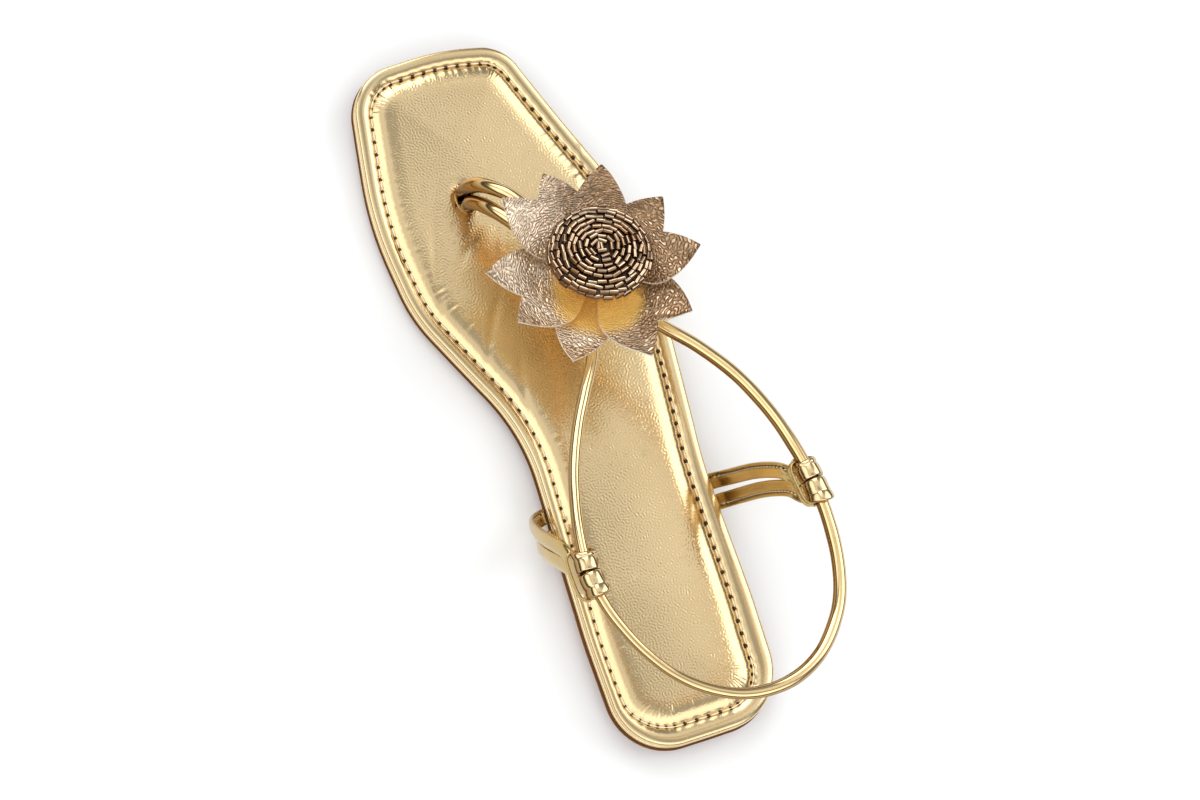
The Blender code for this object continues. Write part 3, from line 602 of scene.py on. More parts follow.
def spread(points, count):
    """The same line with evenly spread points, crowded a little where it turns: a turn of one radian counts
    as much as 7 mm of length."""
    stretch = np.diff(points, axis=0)
    weight = np.linalg.norm(stretch, axis=1)
    turn = np.abs(np.diff(np.unwrap(np.arctan2(stretch[:, 1], stretch[:, 0]))))
    weight[:-1] += CROWDING * turn
    weight[1:] += CROWDING * turn
    along = np.concatenate(([0], np.cumsum(weight)))
    wanted = np.linspace(0, along[-1], count + 1)
    return np.stack([np.interp(wanted, along, points[:, axis]) for axis in (0, 1)], axis=1)


heel_middle, toe_middle = len(arcs[0]) // 2, len(arcs[TOE_ROW]) // 2
outer_side = np.vstack([arcs[0][heel_middle:], *arcs[1:TOE_ROW], arcs[TOE_ROW][:toe_middle + 1]])
inner_side = np.vstack([arcs[TOE_ROW][toe_middle:], *arcs[TOE_ROW + 1:], arcs[0][:heel_middle + 1]])
outline = np.vstack([spread(side, SIDE_POINTS)[:-1] for side in (outer_side, inner_side)])
print("outline:", len(outline), "points,", round(float(np.ptp(outline[:, 1])), 4), "m long")

# %% [markdown]
# ## Side view of the sole
# Seen from the side, the shoe has a flat heel, a shallow arch, a flat ball and toes that spring up a
# little. The heights could be set point by point, but each layer has its own points. As functions of the
# place along the shoe they can be asked for anywhere, and the layers lie on each other with the same thin
# gap all over. An "ease" is a step with level ends, and joins two heights without a kink.

# %% Underside
ARCH_START, ARCH_LENGTH, ARCH_RISE = 0.060, 0.090, 0.0020
SPRING_START, SPRING_RISE = 0.195, 0.0055


def ease(share):
    """0 to 1 with level ends: 3 s^2 - 2 s^3."""
    share = np.clip(share, 0, 1)
    return share * share * (3 - 2 * share)


def underside(y):
    """Flat heel, a shallow arch (sine squared), a flat ball and a toe spring (square of the share)."""
    station = y + HEEL_SEAT
    arch = np.clip((station - ARCH_START) / ARCH_LENGTH, 0, 1)
    toe = np.clip((station - SPRING_START) / (SOLE_LENGTH - SPRING_START), 0, 1)
    return ARCH_RISE * np.sin(math.pi * arch) ** 2 + SPRING_RISE * toe ** 2


print("toe spring:", round(float(underside(SOLE_LENGTH - HEEL_SEAT)) * 1000, 1), "mm")

# %% Tops of the layers
HEEL_THICKNESS, THINNER_BY, THINS_FROM, THINS_OVER = 0.0060, 0.0032, 0.050, 0.070
LEDGE, NARROWER_BY, NARROWS_FROM, NARROWS_OVER = 0.0008, 0.0003, 0.040, 0.120
MIDSOLE_THICKNESS = 0.0018
LAYER_GAP = 0.0003


def outsole_top(y):
    """The underside plus the outsole's thickness, 6 mm under the heel and 2.8 mm from the waist on."""
    return underside(y) + HEEL_THICKNESS - THINNER_BY * ease((y + HEEL_SEAT - THINS_FROM) / THINS_OVER)


def ledge(y):
    """How far the outsole stands out beyond what lies on it: 0.8 mm at the heel and 0.5 mm at the toes."""
    return LEDGE - NARROWER_BY * ease((y + HEEL_SEAT - NARROWS_FROM) / NARROWS_OVER)


def footbed_base(y):
    """Where the footbed lies: on the outsole and the midsole, with a thin gap at each."""
    return outsole_top(y) + MIDSOLE_THICKNESS + 2 * LAYER_GAP


for place, y in (("heel", 0.0), ("arch", 0.075), ("toe", SOLE_LENGTH - HEEL_SEAT)):
    print(f"{place}: underside at", round(float(underside(y)), 4), "and footbed at",
          round(float(footbed_base(y)), 4))


# %% Edge of the footbed
def outward(line):
    """Outward unit normals of a closed line that runs anticlockwise: the tangent turned to its right."""
    tangent = unit(np.roll(line, -1, axis=0) - np.roll(line, 1, axis=0))
    return np.stack([tangent[:, 1], -tangent[:, 0]], axis=1)


def inset(line, distance):
    """The closed line moved inwards by a distance, which may differ from point to point."""
    return line - outward(line) * np.reshape(distance, (-1, 1))


footbed_outline = inset(outline, ledge(outline[:, 1]))
edge_length = lengths_along(np.vstack([footbed_outline, footbed_outline[:1]]))
print("footbed edge:", round(float(edge_length[-1]), 4), "m round")

# %% [markdown]
# ## Outsole and midsole
# The outsole is moulded brown compound with a glossy edge, and the midsole is board wrapped in gold leather
# that shows only as a thin line. A flat shape could be extruded and bevelled, but this sole bends, and its
# edge leans in. So each layer is a stack of rings: the outline set in by some distance and lifted by a
# share of the layer's thickness. The flat middle is closed by bands from each point of one side to its
# partner on the other, which follow the arch and the toe spring across.

# %% Rings with bands across
def bands(count):
    """Faces that close a ring of points, from each point of its first half to its partner in the second
    half."""
    low = np.arange(1, count // 2 - 1)
    quads = np.stack([low, low + 1, count - low - 1, count - low], axis=1)
    ends = np.array(((0, 1, count - 1), (count // 2 - 1, count // 2, count // 2 + 1)))
    return quads, ends


def ring_stack(line, profile, base, thickness):
    """Rings at each (inset, share of the thickness) of a profile."""
    rings = []
    for distance, share in profile:
        ring = inset(line, distance)
        rings.append(np.column_stack([ring, base(ring[:, 1]) + share * thickness(ring[:, 1])]))
    return np.array(rings)


def stacked_piece(name, rings, material, replaced):
    """A closed body through rings (rings, points, 3) from the lowest to the highest."""
    levels, count = rings.shape[:2]
    sides = grid_faces(levels, count, closed_columns=True)
    quads, ends = bands(count)
    top = (levels - 1) * count
    corners = [sides, quads[:, ::-1], ends[:, ::-1], quads + top, ends + top]
    sizes = [np.full(len(sides), 4), np.full(len(quads), 4), (3, 3), np.full(len(quads), 4), (3, 3)]
    return make_object(name, rings.reshape(-1, 3), np.concatenate([faces.ravel() for faces in corners]),
                       np.concatenate(sizes), material, replaced)


print("a ring of", len(outline), "points is closed by", len(bands(len(outline))[0]), "bands and 2 triangles")


# %% Outsole and midsole
# Rows of both profiles: how far in from the edge, and the share of the way up.
OUTSOLE_EDGE = ((0.0036, 0.0), (0.0026, 0.05), (0.0017, 0.30), (0.0007, 0.65), (0.0001, 0.90), (0.0003, 1.0))
MIDSOLE_EDGE = ((0.0007, 0.0), (0.0001, 0.2), (0.0, 0.5), (0.0001, 0.8), (0.0007, 1.0))
PROFILE_STEPS = 3

outsole_rings = ring_stack(outline, smooth_line(OUTSOLE_EDGE, PROFILE_STEPS), underside,
                           lambda y: outsole_top(y) - underside(y))
stacked_piece("outsole_moulding", outsole_rings, outsole_finish, ("outsole",))
midsole_rings = ring_stack(footbed_outline, smooth_line(MIDSOLE_EDGE, PROFILE_STEPS),
                           lambda y: outsole_top(y) + LAYER_GAP, lambda y: np.full_like(y, MIDSOLE_THICKNESS))
stacked_piece("midsole_wrap", midsole_rings, rim_leather, ("midsole",))

# %% [markdown]
# ## Footbed
# The footbed is a thin foam cushion under foil leather, sewn down all round. From the edge inwards it has a
# rolled rim, the stitched groove and a bevel up to the cushion. The groove runs wider on the outer side of
# the heel. A cushion could be inflated as cloth, but the groove and its puckers have to lie exactly under
# the stitches, so the leather is worked out: rings that follow the outline give the rim, groove and bevel,
# and a grid from side to side fills in the cushion.

# %% Rim, groove and bevel
# Columns: y, and the distance from the edge to the groove on the inner and on the outer side.
GROOVE = np.array(((-0.032, 0.0066, 0.0066), (-0.010, 0.0036, 0.0080), (0.050, 0.0042, 0.0064),
                   (0.100, 0.0048, 0.0062), (0.170, 0.0052, 0.0056), (0.222, 0.0058, 0.0058)))
# Columns: share of the way from the edge to the groove, height.
RIM = ((0.20, 0.0), (0.06, 0.0006), (0.01, 0.0014), (0.01, 0.0021), (0.06, 0.0028), (0.15, 0.00325),
       (0.28, 0.00350), (0.46, 0.0036), (0.66, 0.00345), (0.84, 0.0030), (1.00, 0.0022))
# Columns: distance inside the groove, height.
BEVEL = ((0.0006, 0.0025), (0.0014, 0.0031), (0.0026, 0.0038), (0.0042, 0.0044), (0.0062, 0.0048),
         (0.0085, 0.0050))
RIM_STEPS, BEVEL_STEPS = 3, 4
SMOOTHED_OVER = 31

out = outward(footbed_outline)
inner_inset, outer_inset = (np.interp(footbed_outline[:, 1], GROOVE[:, 0], GROOVE[:, column])
                            for column in (1, 2))
groove = (inner_inset + outer_inset) / 2 + (outer_inset - inner_inset) / 2 * out[:, 0]
margin = SMOOTHED_OVER // 2
groove = np.concatenate([groove[-margin:], groove, groove[:margin]])
groove = np.convolve(groove, np.full(SMOOTHED_OVER, 1 / SMOOTHED_OVER), "valid")
rim_rows = smooth_line(RIM, RIM_STEPS)
bevel_rows = smooth_line(BEVEL, BEVEL_STEPS)
distances = np.vstack([rim_rows[:, :1] * groove, groove + bevel_rows[:, :1]])
heights = np.concatenate([rim_rows[:, 1], bevel_rows[:, 1]])
print("groove:", round(float(groove.min()), 4), "to", round(float(groove.max()), 4), "m in from the edge")

# %% [markdown]
# ## Puckers and creases
# Every stitch pulls the leather down a little, and where the foam pushes up against the seam the leather
# gathers in small uneven folds. Where the foot bends the shoe, longer soft troughs appear. A bump texture
# could fake both, but on a shiny foil the outline of a fold matters, so they are real heights: bell curves
# laid on the rings.

# %% Puckers along the seam
STITCH = 0.0044
STITCH_PULL, PULL_WIDTH, PUCKER_WIDTH = 0.00012, 0.0011, 0.0017
PUCKER_WAVES, PUCKER_SEED = (0.0031, 0.0023, 0.0047), 3
# Columns: side (1 is the outer one, -1 the inner one and 0 both), middle y, reach along y, distance inside
# the groove, depth.
PUCKERS = ((0, 0.090, 0.200, 0.0012, 0.00003), (1, 0.170, 0.035, 0.0034, 0.00006),
           (-1, 0.165, 0.040, 0.0036, 0.00005), (-1, 0.128, 0.020, 0.0066, 0.00007),
           (-1, 0.075, 0.015, 0.0068, 0.00006), (0, 0.216, 0.008, 0.0010, 0.00008),
           (0, -0.026, 0.008, 0.0050, 0.00007), (-1, 0.010, 0.030, 0.0060, 0.00005),
           (1, 0.005, 0.030, 0.0060, 0.00004))


def ripple(place, sizes, seed):
    """A smooth wandering value of about -1 to 1 along a distance: a sum of sine waves of these lengths."""
    random = np.random.default_rng(seed)
    waves = [np.sin(math.tau * place / size + random.uniform(0, math.tau)) for size in sizes]
    return sum(waves) / math.sqrt(len(sizes))


arc = edge_length[:-1]
stitches = round(float(edge_length[-1]) / STITCH)
pull = np.cos(math.tau * arc * stitches / edge_length[-1])
inside = distances - groove
pucker = STITCH_PULL * np.exp(-((inside / PULL_WIDTH) ** 2)) * pull
gathers = ripple(arc, PUCKER_WAVES, PUCKER_SEED)
for side, middle_y, reach, distance, depth in PUCKERS:
    share = np.exp(-(((footbed_outline[:, 1] - middle_y) / reach) ** 2)) * (out[:, 0] * side >= 0)
    pucker = pucker + depth * share * gathers * np.exp(-(((inside - distance) / PUCKER_WIDTH) ** 2))
print("puckers: up to", round(float(np.abs(pucker).max()) * 1000, 2), "mm deep")

# %% Creases where the foot bends the shoe
CREASE_BEND = 0.05
# Columns: x, y, direction in degrees, half length, half width, depth (below zero is a ridge).
CREASES = ((-0.0335, 0.1500, 75, 0.016, 0.0016, 0.00030), (-0.0230, 0.1230, 60, 0.012, 0.0014, 0.00026),
           (-0.0200, 0.1000, 80, 0.010, 0.0013, 0.00018), (0.0290, 0.1720, 60, 0.012, 0.0014, -0.00014),
           (-0.0190, 0.1540, 40, 0.009, 0.0016, 0.00020), (-0.0120, 0.1500, 60, 0.008, 0.0014, 0.00018))


def creased(points):
    """How far the leather lies below its smooth form: soft troughs, each a bell across its line and along
    it. The line itself bends by a square of the distance along it."""
    depth = np.zeros(points.shape[:-1])
    for x, y, degrees, half_length, half_width, deep in CREASES:
        angle = math.radians(degrees)
        away = points[..., :2] - (x, y)
        along = away[..., 0] * math.cos(angle) + away[..., 1] * math.sin(angle)
        across = away[..., 1] * math.cos(angle) - away[..., 0] * math.sin(angle)
        across = across + CREASE_BEND * along ** 2 / half_length
        depth += deep * np.exp(-((along / half_length) ** 2) - (across / half_width) ** 2)
    return depth


print("creases:", len(CREASES), "of up to", max(crease[-1] for crease in CREASES) * 1000, "mm")


# %% Rings of the footbed
rings = []
for level in range(len(heights)):
    ring = inset(footbed_outline, distances[level])
    rings.append(np.column_stack([ring, footbed_base(ring[:, 1]) + heights[level] - pucker[level]]))
rings = np.array(rings)
count = rings.shape[1]
half = count // 2
print("footbed:", len(rings), "rings of", count, "points")

# %% [markdown]
# ## Cushion
# The cushion is the soft middle of the footbed. A fan of faces from one point would pinch there, and a flat
# cap would show a crease. From the last ring every point is carried towards a spine on the middle line, so
# the grid has no straight seam at the ends. The toe post goes down through a small oval hole: points near
# it are moved onto the oval, and those inside it are sunk, which leaves a closed pocket that the cord's
# ends stand in.

# %% Grid of the cushion
INWARD = 40
SPINE_POINTS = 200
SPINE_FROM_HEEL, SPINE_SHORTER = 0.018, 0.040

last = rings[-1]
spine_y = np.linspace(last[:, 1].min(), last[:, 1].max(), SPINE_POINTS)
outer_x = np.interp(spine_y, last[:half + 1, 1], last[:half + 1, 0])
inner_x = np.interp(spine_y, last[half:, 1][::-1], last[half:, 0][::-1])
part = (last[:half + 1, 1] - last[0, 1]) / (last[half, 1] - last[0, 1])
part = np.maximum.accumulate(np.clip(part, 0, 1))
along_spine = spine_y[0] + SPINE_FROM_HEEL + (spine_y[-1] - spine_y[0] - SPINE_SHORTER) * part
spine = np.column_stack([np.interp(along_spine, spine_y, (outer_x + inner_x) / 2), along_spine])
goal = np.vstack([spine, spine[1:-1][::-1]])
share = np.arange(1, INWARD + 1)[:, None, None] / INWARD
flat = last[None, :, :2] * (1 - share) + goal[None] * share
flat = np.concatenate([flat[:-1].reshape(-1, 2), spine])
print("cushion:", len(flat), "points inside the last ring")

# %% Hole for the toe post
POST = np.array((-0.0155, 0.1692))
POST_SIZE = np.array((0.0024, 0.0048))
HOLE_WIDER, DIP_WIDER = 0.0004, 0.0024
DIP_FROM, DIP_OVER = 0.6, 0.5
NEAR_OVAL, INSIDE_OVAL = 1.16, 0.80
CUSHION_RISE, DIP_DEPTH, HOLE_DEPTH = 0.0004, 0.0004, 0.0040
CREASED_ABOVE = 0.0022

reach = np.linalg.norm((flat - POST) / (POST_SIZE + HOLE_WIDER), axis=1)
snap = (reach < NEAR_OVAL) & (reach > INSIDE_OVAL)
flat[snap] = POST + (flat[snap] - POST) / reach[snap][:, None]
inwards = np.concatenate([np.repeat(share[:-1, 0, 0], count), np.ones(half + 1)])
lift = CUSHION_RISE * np.sin(math.pi / 2 * inwards)
dip = np.linalg.norm((flat - POST) / (POST_SIZE + DIP_WIDER), axis=-1)
around_hole = 1 - ease((dip - DIP_FROM) / DIP_OVER)
level_z = footbed_base(flat[:, 1]) + heights[-1] + lift - DIP_DEPTH * around_hole
level_z[reach <= INSIDE_OVAL] -= HOLE_DEPTH
points = np.vstack([rings.reshape(-1, 3), np.column_stack([flat, level_z])])
points[:, 2] -= creased(points) * (points[:, 2] > footbed_base(points[:, 1]) + CREASED_ABOVE)
print("hole:", int((reach <= INSIDE_OVAL).sum()), "points sunk,", int(snap.sum()), "moved onto its oval")

# %% The footbed's mesh
net_rows = len(rings) + INWARD - 1
sides = grid_faces(net_rows, count, closed_columns=True)
ring_start, spine_start = (net_rows - 1) * count, net_rows * count
step = np.arange(count)
on_spine = spine_start + np.where(step <= half, step, count - step)
on_ring, next_on_ring = ring_start + step, ring_start + (step + 1) % count
closing = np.stack([on_ring, next_on_ring, np.roll(on_spine, -1), on_spine], axis=1)
quads = np.vstack([sides, closing])
under_quads, under_ends = bands(count)
faces = [quads.ravel(), under_quads[:, ::-1].ravel(), under_ends[:, ::-1].ravel()]
footbed = make_object("footbed_cushion", points, np.concatenate(faces),
                      np.concatenate([np.full(len(quads) + len(under_quads), 4), (3, 3)]),
                      footbed_leather, ("footbed",))

# The rim, up to the groove, is smoother leather than the cushion.
footbed.data.materials.append(rim_leather)
choice = np.zeros(len(footbed.data.polygons), np.int32)
choice[:(len(rim_rows) + 1) * count] = 1
footbed.data.polygons.foreach_set("material_index", choice)
print("footbed:", int(choice.sum()), "faces of rim leather")

# %% [markdown]
# ## Toe-post hole
# The leather round the hole is turned down into it, which leaves a soft pale lip. It could be cut and
# bevelled out of the cushion, but a ring of its own keeps its roundness however coarse the cushion is. The
# lip is a profile carried round the oval of the hole.

# %% Lip
# Columns: distance outside the oval, height above the cushion.
LIP = ((0.0024, -0.0003), (0.0018, 0.0002), (0.0012, 0.0005), (0.0006, 0.0005), (0.0001, 0.0001),
       (-0.0001, -0.0008), (-0.0001, -0.0036))
LIP_COLUMNS = 64
LIP_BASE = 0.0045

turn = np.linspace(0, math.tau, LIP_COLUMNS, endpoint=False)
lip_rows = smooth_line(LIP, PROFILE_STEPS)
lip_points = np.empty((len(lip_rows), LIP_COLUMNS, 3))
circle = np.stack([np.cos(turn), np.sin(turn)], axis=1)
lip_points[..., :2] = POST + circle * (POST_SIZE + lip_rows[:, None, :1])
lip_points[..., 2] = float(footbed_base(POST[1])) + LIP_BASE + lip_rows[:, 1:]
grid_piece("post_hole_lip", lip_points, rim_leather, "gold_leather", closed_rows=True)

# %% [markdown]
# ## Stitching
# A gold thread runs round the groove, in short bowed stitches between holes. It could be one long
# curve with a pattern on it, but at the groove each stitch casts its own small shadow. Things that are
# repeated hundreds of times are one small shape placed many times by whole-array arithmetic and kept as a
# single mesh, so each has only a few dozen faces. An ellipsoid does for both: a long one is a stitch, and a
# flat dark one is the painted shade inside a hole.

# %% One small shape at many places
NEAR_POLE = 0.06


def ellipsoid(size):
    """Points and faces of a small closed ellipsoid: rings of eight points round its long axis, and three
    quads as each end."""
    rows, columns = 6, 8
    polar = np.linspace(math.pi - NEAR_POLE, NEAR_POLE, rows)[:, None]
    angle = np.linspace(0, math.tau, columns, endpoint=False)[None, :]
    rounded = [np.cos(polar) + 0 * angle, np.sin(polar) * np.cos(angle), np.sin(polar) * np.sin(angle)]
    points = np.stack(rounded, axis=-1) * np.asarray(size) / 2
    end = np.array(((0, 1, 2, 7), (7, 2, 3, 6), (6, 3, 4, 5)))
    sides = grid_faces(rows, columns, closed_columns=True)
    quads = np.vstack([sides, end[:, ::-1], end + (rows - 1) * columns])
    return points.reshape(-1, 3), quads


def copies(points, quads, places, frames):
    """The same small shape at many places. frames (copies, 3, 3) holds each copy's axes as columns."""
    moved = np.einsum("nij,pj->npi", frames, points) + places[:, None, :]
    numbers = quads[None] + (np.arange(len(places)) * len(points))[:, None, None]
    return moved.reshape(-1, 3), numbers.reshape(-1, 4)


def many(name, shape, places, frames, material):
    """One piece made of the same small shape at many places."""
    points, quads = copies(*shape, places, frames)
    return make_object(name, points, quads.ravel(), np.full(len(quads), 4), material)


print("a stitch or a hole:", len(ellipsoid((1.0, 1.0, 1.0))[1]), "faces")


# %% Stitches round the groove
GROOVE_FLOOR = 0.0025
THREAD_SIZE, THREAD_LIFT = (0.0033, 0.00064, 0.00080), 0.00018
HOLE_SIZE, HOLE_LIFT = (0.0014, 0.00085, 0.00060), -0.00002


def on_groove(place, lift):
    """Points on the groove's line at these distances round the edge, with the directions along, across and
    up."""
    line = inset(footbed_outline, groove)
    line = np.column_stack([line, footbed_base(line[:, 1]) + GROOVE_FLOOR])
    line = np.vstack([line, line[:1]])
    wrapped = np.mod(place, edge_length[-1])
    found = np.stack([np.interp(wrapped, edge_length, line[:, axis]) for axis in range(3)], axis=1)
    steps = [np.interp(wrapped, edge_length, np.gradient(line[:, axis])) for axis in range(3)]
    along = unit(np.stack(steps, axis=1))
    above = np.broadcast_to((0.0, 0.0, 1.0), along.shape)
    across = unit(np.cross(above, along))
    found[:, 2] += lift
    return found, np.stack([along, across, np.cross(along, across)], axis=-1)


pitch = edge_length[-1] / stitches
starts = np.arange(stitches) * pitch
places, frames = on_groove(starts + pitch / 2, THREAD_LIFT)
many("stitch_threads", ellipsoid(THREAD_SIZE), places, frames, thread)
# Painted shade: a flat dark ellipsoid in each stitch hole.
places, frames = on_groove(starts, HOLE_LIFT)
many("stitch_holes", ellipsoid(HOLE_SIZE), places, frames, hole_shade)
print(stitches, "stitches,", round(float(pitch) * 1000, 2), "mm apart")

# %% [markdown]
# ## Cord
# One round cord is the whole upper. It rises out of the hole, runs under the flower, along one side to the
# first knot, round behind the ankle, through the other knot and back down into the hole. A Blender curve
# with a bevel would make a tube too, but its thickness and its UV are harder to steer. Here a circle is
# carried along the route, in a frame that turns as little as possible from point to point, so that nothing
# twists. Real cord is stuffed by hand, so its girth wanders a little, and it is thicker at the toe post
# than behind the heel.

# %% Route and girth of the cord
CORD_ROUTE = (
    (-0.0155, 0.1669, 0.0034), (-0.0156, 0.1668, 0.0090), (-0.0159, 0.1656, 0.0165),
    (-0.0155, 0.1623, 0.0242), (-0.0138, 0.1572, 0.0304), (-0.0103, 0.1507, 0.0338),
    (-0.0056, 0.1418, 0.0364), (-0.0014, 0.1325, 0.0383), (0.0012, 0.1235, 0.0399),
    (0.0014, 0.1145, 0.0418), (-0.0008, 0.1052, 0.0434), (-0.0057, 0.0951, 0.0456),
    (-0.0126, 0.0855, 0.0482), (-0.0197, 0.0751, 0.0510), (-0.0264, 0.0630, 0.0541),
    (-0.0311, 0.0520, 0.0571), (-0.0348, 0.0405, 0.0601), (-0.0368, 0.0280, 0.0622),
    (-0.0359, 0.0168, 0.0635), (-0.0334, 0.0078, 0.0643), (-0.0295, -0.0013, 0.0649),
    (-0.0235, -0.0107, 0.0655), (-0.0155, -0.0183, 0.0659), (-0.0057, -0.0237, 0.0661),
    (0.0045, -0.0258, 0.0660), (0.0146, -0.0249, 0.0657), (0.0240, -0.0209, 0.0652),
    (0.0319, -0.0142, 0.0646), (0.0383, -0.0055, 0.0640), (0.0427, 0.0062, 0.0632),
    (0.0450, 0.0195, 0.0622), (0.0456, 0.0330, 0.0607), (0.0447, 0.0465, 0.0583),
    (0.0424, 0.0605, 0.0551), (0.0376, 0.0752, 0.0516), (0.0301, 0.0886, 0.0484),
    (0.0224, 0.0987, 0.0458), (0.0157, 0.1080, 0.0437), (0.0112, 0.1175, 0.0420),
    (0.0075, 0.1280, 0.0396), (0.0030, 0.1385, 0.0380), (-0.0024, 0.1495, 0.0370),
    (-0.0073, 0.1585, 0.0355), (-0.0114, 0.1636, 0.0330), (-0.0142, 0.1674, 0.0286),
    (-0.0155, 0.1697, 0.0225), (-0.0158, 0.1712, 0.0150), (-0.0155, 0.1715, 0.0034),
)
# Columns: row of the route, diameter.
CORD_GIRTH = ((0, 0.0048), (2, 0.0054), (5, 0.0048), (8, 0.0042), (11, 0.0040), (17, 0.0040), (19, 0.0034),
              (21, 0.0034), (25, 0.0044), (40, 0.0044), (43, 0.0048), (45, 0.0054), (47, 0.0048))
CORD_STEPS = 8

cord_line = smooth_line(CORD_ROUTE, CORD_STEPS)
cord_length = lengths_along(cord_line)
girth = np.interp(np.arange(len(cord_line)) / CORD_STEPS, *zip(*CORD_GIRTH))
print("cord:", round(float(cord_length[-1]), 4), "m long,", girth.min(), "to", girth.max(), "m thick")

# %% A tube along a line
def carried_frames(line):
    """Side and up at each point of a line, square to it. The side is the one before it, less its part along
    the line, so it turns no more than the line does."""
    tangent = unit(np.gradient(line, axis=0))
    side = np.empty_like(line)
    side[0] = unit(np.cross(tangent[0], (0.2, 1.0, 0.1)))
    for index in range(1, len(line)):
        side[index] = unit(side[index - 1] - tangent[index] * (side[index - 1] @ tangent[index]))
    return side, np.cross(tangent, side)


def tube(line, radius, columns):
    """A circle of the given radius carried along a line: points (rows, columns, 3)."""
    side, above = carried_frames(line)
    angle = np.linspace(0, math.tau, columns, endpoint=False)[None, :, None]
    radius = np.reshape(radius, (-1, 1, 1))
    return line[:, None] + radius * (np.cos(angle) * side[:, None] + np.sin(angle) * above[:, None])


cord_sides, _ = carried_frames(cord_line)
print("side of the cord: from", np.round(cord_sides[0], 2), "to", np.round(cord_sides[-1], 2))


# %% Cord
GIRTH_WANDER, WANDER_LENGTHS, WANDER_SEED = 0.012, (0.011, 0.017, 0.029), 5
CORD_COLUMNS = 24

wander = 1 + GIRTH_WANDER * ripple(cord_length, WANDER_LENGTHS, WANDER_SEED)
cord_points = tube(cord_line, girth / 2 * wander, CORD_COLUMNS)
grid_piece("cord", cord_points, cord_leather, "gold_leather_cord", ("cord_upper",), caps=True,
           along=np.append(cord_length, cord_length[-1]))

# %% [markdown]
# ## Side straps
# Each side strap is a doubled leather strap whose two legs come out between footbed and outsole and rise to
# the cord. A flat ribbon would look like paper, because a real strap is folded over and sewn: it has a
# round rolled edge, a row of stitches beside it and a thin cut edge. So a leg is a folded section carried
# along its route. The section stands square to the route, and is turned so that its face looks inwards to
# the foot.

# %% Routes of the straps
# Each keeper: side (1 is the outer one), row of the cord's route at its knot, half the width of its fold,
# and the route of the middle line between its legs.
STRAPS = {
    "keeper_lateral": (1, 31, 0.0011, (
        (0.0316, 0.0461, 0.0072), (0.0345, 0.0455, 0.0105), (0.0361, 0.0441, 0.0200),
        (0.0377, 0.0421, 0.0330), (0.0394, 0.0398, 0.0430), (0.0411, 0.0371, 0.0505))),
    "keeper_medial": (-1, 17, 0.0006, (
        (-0.0294, 0.0527, 0.0073), (-0.0334, 0.0515, 0.0122), (-0.0368, 0.0490, 0.0200),
        (-0.0389, 0.0460, 0.0290), (-0.0397, 0.0428, 0.0370), (-0.0396, 0.0392, 0.0450),
        (-0.0390, 0.0352, 0.0515))),
}
SPACING_LOW, SPACING_HIGH = 0.0076, 0.0058
CORD_REACH = 0.0037


def cord_at(row, distance):
    """Place and direction of the cord this far along from a row of its route. The direction is taken over a
    short stretch of cord, and the place is the mean of the point and of that stretch's middle."""
    wanted = cord_length[row * CORD_STEPS] + distance + np.array((-CORD_REACH, 0.0, CORD_REACH))
    found = [np.interp(wanted, cord_length, cord_line[:, axis]) for axis in range(3)]
    behind, here, ahead = np.stack(found, axis=1)
    return here / 2 + (behind + ahead) / 4, unit(ahead - behind)


for name, (side, row, fold, route) in STRAPS.items():
    print(f"{name}: knot at", np.round(cord_at(row, 0.0)[0], 4), "with", len(route), "rows below it")

# %% Section of a leg
# Columns: across, from the edge beside the other leg to the rolled outer edge, and through the leather,
# where positive is the side that looks inwards. The dip between 0.0010 and 0.0017 is the sewn seam.
LEG_SECTION = np.array((
    (-0.0027, 0.0001), (-0.0026, 0.0007), (-0.0022, 0.0010), (-0.0017, 0.00075), (-0.0005, 0.00070),
    (0.0006, 0.00065), (0.0010, 0.00030), (0.0014, 0.00015), (0.0017, 0.0005), (0.0020, 0.0011),
    (0.0024, 0.0013), (0.0028, 0.0010), (0.0029, 0.0002), (0.0026, -0.0005), (0.0018, -0.0009),
    (0.0006, -0.0012), (-0.0006, -0.0012), (-0.0018, -0.0009), (-0.0025, -0.0004),
))


def swept(line, width, face, section):
    """A section carried along a line: each of its points goes so far along the width and so far along the
    face."""
    return line[:, None] + width[:, None] * section[..., :1] + face[:, None] * section[..., 1:]


print("leg:", round(float(np.ptp(LEG_SECTION[:, 0])) * 1000, 1), "mm wide,",
      round(float(np.ptp(LEG_SECTION[:, 1])) * 1000, 1), "mm thick")

# %% Middle line of a leg
LEG_STEPS = 8
START_INSIDE = 0.0010
KNOT_SHORT = 0.0010
APPROACH = (0.0062, 0.0030)


def leg_line(side, row, route, direction):
    """Middle line of one leg, with the directions across, through and along it. The line follows the
    keeper's route and ends at the cord, square to it. Its two legs spread along the shoe at the foot and
    along the cord at the knot."""
    knot, along = cord_at(row, 0.0)
    along = -along if along[1] > 0 else along
    start = np.array(route[0]) - (side * START_INSIDE, 0.0, 0.0)
    points = [start, *map(np.array, route)]
    approach = knot - points[-1]
    approach = unit(approach - along * (approach @ along))
    points += [knot - along * KNOT_SHORT - approach * distance for distance in APPROACH]
    middle = smooth_line(points, LEG_STEPS)
    share = ease(np.linspace(0, 1, len(middle)))[:, None]
    width = unit((1 - share) * np.array((0.0, 1.0, 0.0)) - share * along)
    spacing = SPACING_LOW + (SPACING_HIGH - SPACING_LOW) * np.linspace(0, 1, len(middle))[:, None]
    line = middle + direction * width * spacing / 2
    tangent = unit(np.gradient(line, axis=0))
    width = unit(width - tangent * np.sum(width * tangent, axis=1, keepdims=True))
    face = np.cross(width, tangent)
    face *= np.sign(-side * face[:, :1])
    return line, width * direction, face, tangent


